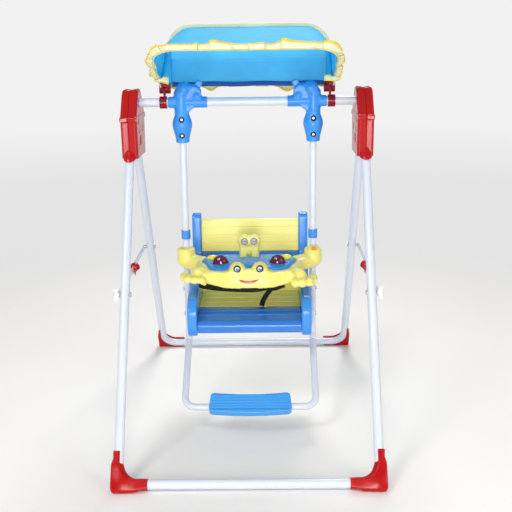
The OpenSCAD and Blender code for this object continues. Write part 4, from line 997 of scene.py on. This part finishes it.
def tall(p):
    """Stands the purple lenses higher, with eight shallow facets."""
    q = p.copy()
    x, y, z = p.T
    base = DOMES_LOW[2]
    q[:, 2] = base + (z - base) * LENS_RISE
    around = np.arctan2(y - (DOMES_LOW[1] + DOMES_HIGH[1]) / 2, np.abs(x) - x[x > 0].mean())
    q[:, 2] += 0.0007 * np.abs(np.cos(4 * around)) * ease(z, base + 0.004, base + 0.008)
    return q


def buttons(name, places, radii, mat, tilt):
    """Domed discs, one for each place, tilted up by an angle."""
    bm = bmesh.new()
    for place in places:
        turn = Matrix.Translation(place) @ Matrix.Rotation(tilt, 4, "X") @ Matrix.Diagonal((*radii, 1))
        bmesh.ops.create_uvsphere(bm, u_segments=40, v_segments=24, radius=1, matrix=turn)
    obj = from_bmesh(name, bm, MATERIALS[mat])
    obj.data.shade_smooth()
    return obj


def make_tray():
    """The crab, its blue back, stalks, eyes, lenses and latch knob."""
    body = sculpted("tray_body", "crab_body", crab)
    back = sculpted("tray_insert", "crab_back", shell)
    # a second round of softening, for rounder stalks
    soften(nodes["stalk_eyes"], *SOFTENED["stalk_eyes"])
    columns = sculpted("stalk_eyes", "eye_stalks", stalks)
    eyes = buttons("crab_eyes", [(s * EYE_X, EYE_Y, EYE_Z) for s in SIGNS], EYE_SIZE, "eye_white", EYE_TILT)
    lenses = sculpted("tray_domes", "dome_lenses", tall)
    knob = buttons("latch_knob", [KNOB_AT], KNOB_SIZE, "button_orange", KNOB_TILT)
    settle(knob, "latch", slot_of["latch_button"], "latch_button")
    settle(body, "tray", "plastic_yellow", "tray_body")
    settle(back, "tray", "plastic_blue", "tray_insert")
    settle(columns, "tray", "plastic_yellow", "stalk_eyes")
    settle(eyes, "tray", slot_of["tray_eyes"], "tray_eyes")
    settle(lenses, "tray", slot_of["tray_domes"], "tray_domes")


make_tray()

# ------------------------ brace locks

BULB_R, BULB_PAST = 0.0142, 0.0050


def bulb_radius(t):
    """Radius at t of the height: a round head down to 0.34, drawn out into the tail below it."""
    if t < 0.34:
        return BULB_R * math.sqrt(max(0.0, 1 - ((t - 0.34) / 0.34) ** 2))
    return BULB_R * (1 - 0.86 * float(ease(t, 0.40, 0.80)) - 0.10 * float(ease(t, 0.8, 1.0)))


def make_brace_locks():
    """Rounded bulbs with a tail, which grip the middle joint of each brace from inside."""
    low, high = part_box("brace_locks_inner")
    top, bottom = high[2] + BULB_PAST, low[2] - BULB_PAST
    bm = bmesh.new()
    rows, sides = 26, 28
    for s in SIGNS:
        stack = []
        for t in np.linspace(0, 1, rows):
            r = max(bulb_radius(t), 0.0004)
            ribs = 0.05 * float(ease(t, 0.15, 0.35)) * (1 - float(ease(t, 0.5, 0.7)))
            centre = Vector((s * (high[0] - BULB_PAST), 0, top - t * (top - bottom)))
            ring = []
            for a in np.linspace(0, 2 * math.pi, sides, endpoint=False):
                out = r * (1 + ribs * math.cos(6 * a))
                ring.append(bm.verts.new(centre + Vector((math.cos(a) * out, math.sin(a) * out, 0))))
            stack.append(ring)
        for upper, lower in zip(stack, stack[1:]):
            for k in range(sides):
                after = (k + 1) % sides
                bm.faces.new((upper[k], upper[after], lower[after], lower[k]))
        bm.faces.new(stack[0])
        bm.faces.new(list(reversed(stack[-1])))
    bmesh.ops.recalc_face_normals(bm, faces=bm.faces)
    bulbs = from_bmesh("brace_lock_bulbs", bm, MATERIALS["plastic_red"])
    smooth(bulbs, 50)
    settle(bulbs, "brace_front", "plastic_red", "brace_locks_inner")


make_brace_locks()

# ------------------------ housing mouths and feet

LEGS_MEET_Z, LEG_SLOPE, TUBE_R = 0.895, 0.589, 0.0125
LEG_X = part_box("front_leg_tube")[1][0] - TUBE_R
BAR_Z, BAR_Y, BEND_R = 0.0155, 0.518, 0.048
# a spread so wide that a relief doesn't fall off along that axis
FLAT = 10


def make_mouths():
    """The housings' lower lips, which close round the front of each leg."""
    for s, side in SIDES:
        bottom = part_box("housing_outer_" + side)[0][2]
        rows = []
        for t in np.linspace(0, 1, 20):
            z = bottom - 0.007 + 0.044 * t
            middle = np.array([s * LEG_X, -LEG_SLOPE * (LEGS_MEET_Z - z), z])
            r = TUBE_R + 0.0030 - 0.0055 * ease(t, 0.55, 1.0) + 0.0006 * math.sin(3 * math.pi * t)
            row = []
            for a in np.radians(np.linspace(-100, 100, 31)):
                drop = 0.0045 * math.sin(abs(a)) ** 2 * (1 - t)
                row.append(middle + (math.sin(a) * r, -math.cos(a) * r * 1.16, drop))
            rows.append(row)
        lip = grid_object("housing_mouth_" + side, np.array(rows), ["plastic_red"])
        thicken(lip, 0.0020)
        settle(lip, "stand", "plastic_red")


def make_foot_sleeves():
    """Inside each front foot, the sleeve that closes round the bend of its tube."""
    lean = math.atan(LEG_SLOPE)
    for s, side in SIDES:
        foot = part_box("front_foot_" + side)
        inner = min(abs(foot[0][0]), abs(foot[1][0]))
        # down the leg, round the bend and along the bar, as (x, distance up the leg from the bar)
        flat = [(LEG_X, h) for h in np.linspace(0.082, BEND_R, 12, endpoint=False)]
        flat += [(LEG_X - BEND_R + BEND_R * math.cos(a), BEND_R - BEND_R * math.sin(a))
                 for a in np.linspace(0, math.pi / 2, 22)]
        flat += [(x, 0) for x in np.linspace(LEG_X - BEND_R, inner + 0.001, 8)[1:]]
        path = np.array([(s * x, h * math.sin(lean) - BAR_Y, BAR_Z + h * math.cos(lean)) for x, h in flat])
        tangent = tangents(path)
        ahead = square_to(every((0, -math.cos(lean), -math.sin(lean)), path), tangent)
        beside = np.cross(tangent, ahead)
        at = lengths(path) / lengths(path)[-1]
        path[:, 0] += s * 0.0032 * (1 - ease(at, 0.0, 0.34))
        radius = (TUBE_R - 0.0004 + 0.0028 * ease(at, 0.1, 0.4) - 0.0006 * ease(at, 0.85, 1))[:, None]
        sleeve = sweep("foot_sleeve_" + side, path, ahead, beside, radius, radius, "boot_red", sides=28)
        settle(sleeve, "stand", "plastic_red")


def crowned(centre, way):
    """Swells a foot's face round its centre and hollows it above, so that it isn't flat.
    way is the direction along y in which the face looks."""
    above = (centre[0] * 1.03, 0, centre[2] + 0.055)

    def shape(p):
        q = p.copy()
        face = way * ease(way * (p[:, 1] - centre[1]), 0.0, 0.012)
        q[:, 1] += face * relief(p, 0.0055, centre, (0.026, FLAT, 0.026))
        q[:, 1] -= face * relief(p, 0.0025, above, (0.02, FLAT, 0.016))
        return q
    return shape


def make_feet():
    """The red boots, with crowned faces in place of the CAD's flat ones."""
    for way, body, row in ((-1, "stand", "front"), (1, "rear_frame", "rear")):
        for s, side in SIDES:
            node = f"{row}_foot_{side}"
            low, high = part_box(node)
            outer = max(abs(low[0]), abs(high[0]))
            centre = (s * (outer - 0.022), (low[1] + high[1]) / 2, 0.026)
            foot = sculpted(node, "moulded_" + node, crowned(centre, way))
            settle(foot, body, "plastic_red", node)


make_mouths()
make_foot_sleeves()
make_feet()

# ------------------------ belts

CROTCH_FOOT, CROTCH_HEAD = np.array([0.034, -0.062, 0.3362]), np.array([0.066, -0.1085, 0.4045])
TAIL = np.array([[0.066, -0.113, 0.402], [0.076, -0.117, 0.405],
                 [0.088, -0.118, 0.410], [0.100, -0.114, 0.413]])
WAIST_FLAT, CROTCH_FLAT, TAIL_FLAT = 0.031, 0.0145, 0.013


def close_ends(obj, loops, ring):
    """Fills the two open ends of a round grid."""
    bm = bmesh.new()
    bm.from_mesh(obj.data)
    bm.verts.ensure_lookup_table()
    bm.faces.new([bm.verts[i] for i in range(ring)])
    bm.faces.new([bm.verts[(loops - 1) * ring + i] for i in reversed(range(ring))])
    bmesh.ops.recalc_face_normals(bm, faces=bm.faces)
    bm.to_mesh(obj.data)
    bm.free()


def strap(name, path, across, width, thickness):
    """A webbing strap: a flat band with slightly rounded selvedges. Returns it and its length."""
    tangent = tangents(path)
    across = square_to(across, tangent)
    upper = [(t, 0.5 * (1 - 0.5 * abs(t) ** 6)) for t in np.linspace(-1, 1, 9)]
    ring = upper + [(t, -h) for t, h in reversed(upper)]
    half = np.broadcast_to(np.asarray(width, float), (len(path),)) / 2
    thick = np.cross(tangent, across) * thickness
    grid = np.stack([path + across * (t * half)[:, None] + thick * h for t, h in ring], axis=1)
    obj = grid_object(name, grid, ["webbing_black"], round_rows=True)
    close_ends(obj, grid.shape[0], grid.shape[1])
    return obj, lengths(path)[-1]


def make_waist():
    """The belt across the lap, which hangs lower at the middle and narrows to the right."""
    low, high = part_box("waist_belt")
    x = np.linspace(low[0], high[0], 60)
    bend = 1 - (x / high[0]) ** 2
    right = ease(x, 0.005, 0.105)
    top = high[2] - 0.001
    bottom = low[2] - 0.0065 + 0.002 * np.cos(x * 30 + 0.6) + right * 0.016
    y = high[1] + (low[1] - high[1]) * bend + 0.0012 * np.sin(x * 60)
    path = np.stack([x, y, (top + bottom) / 2], axis=1)
    lean = np.stack([0 * x, 0.12 + 0.1 * right, 1 + 0 * x], axis=1)
    return strap("waist_webbing", path, lean, top - bottom, 0.0026)


def make_belts():
    waist, length = make_waist()
    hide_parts("waist_belt")
    s = np.linspace(0, 1, 30)
    line = CROTCH_FOOT + s[:, None] * (CROTCH_HEAD - CROTCH_FOOT)
    line[:, 0] -= 0.006 * np.sin(math.pi * s)
    line[:, 1] -= 0.004 * np.sin(math.pi * s)
    crotch, length = strap("crotch_webbing", line, every((1.0, 0.12, -0.3), line), CROTCH_FLAT, 0.0018)
    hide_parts("crotch_strap")
    line = resample(np.linspace(0, 1, len(TAIL)), np.linspace(0, 1, 16), TAIL)
    tail, length = strap("belt_tail", line, every((-0.25, 0.1, 1.0), line), TAIL_FLAT, 0.0018)
    for piece in (waist, crotch, tail):
        settle(piece, "swing", "webbing_black")


make_belts()
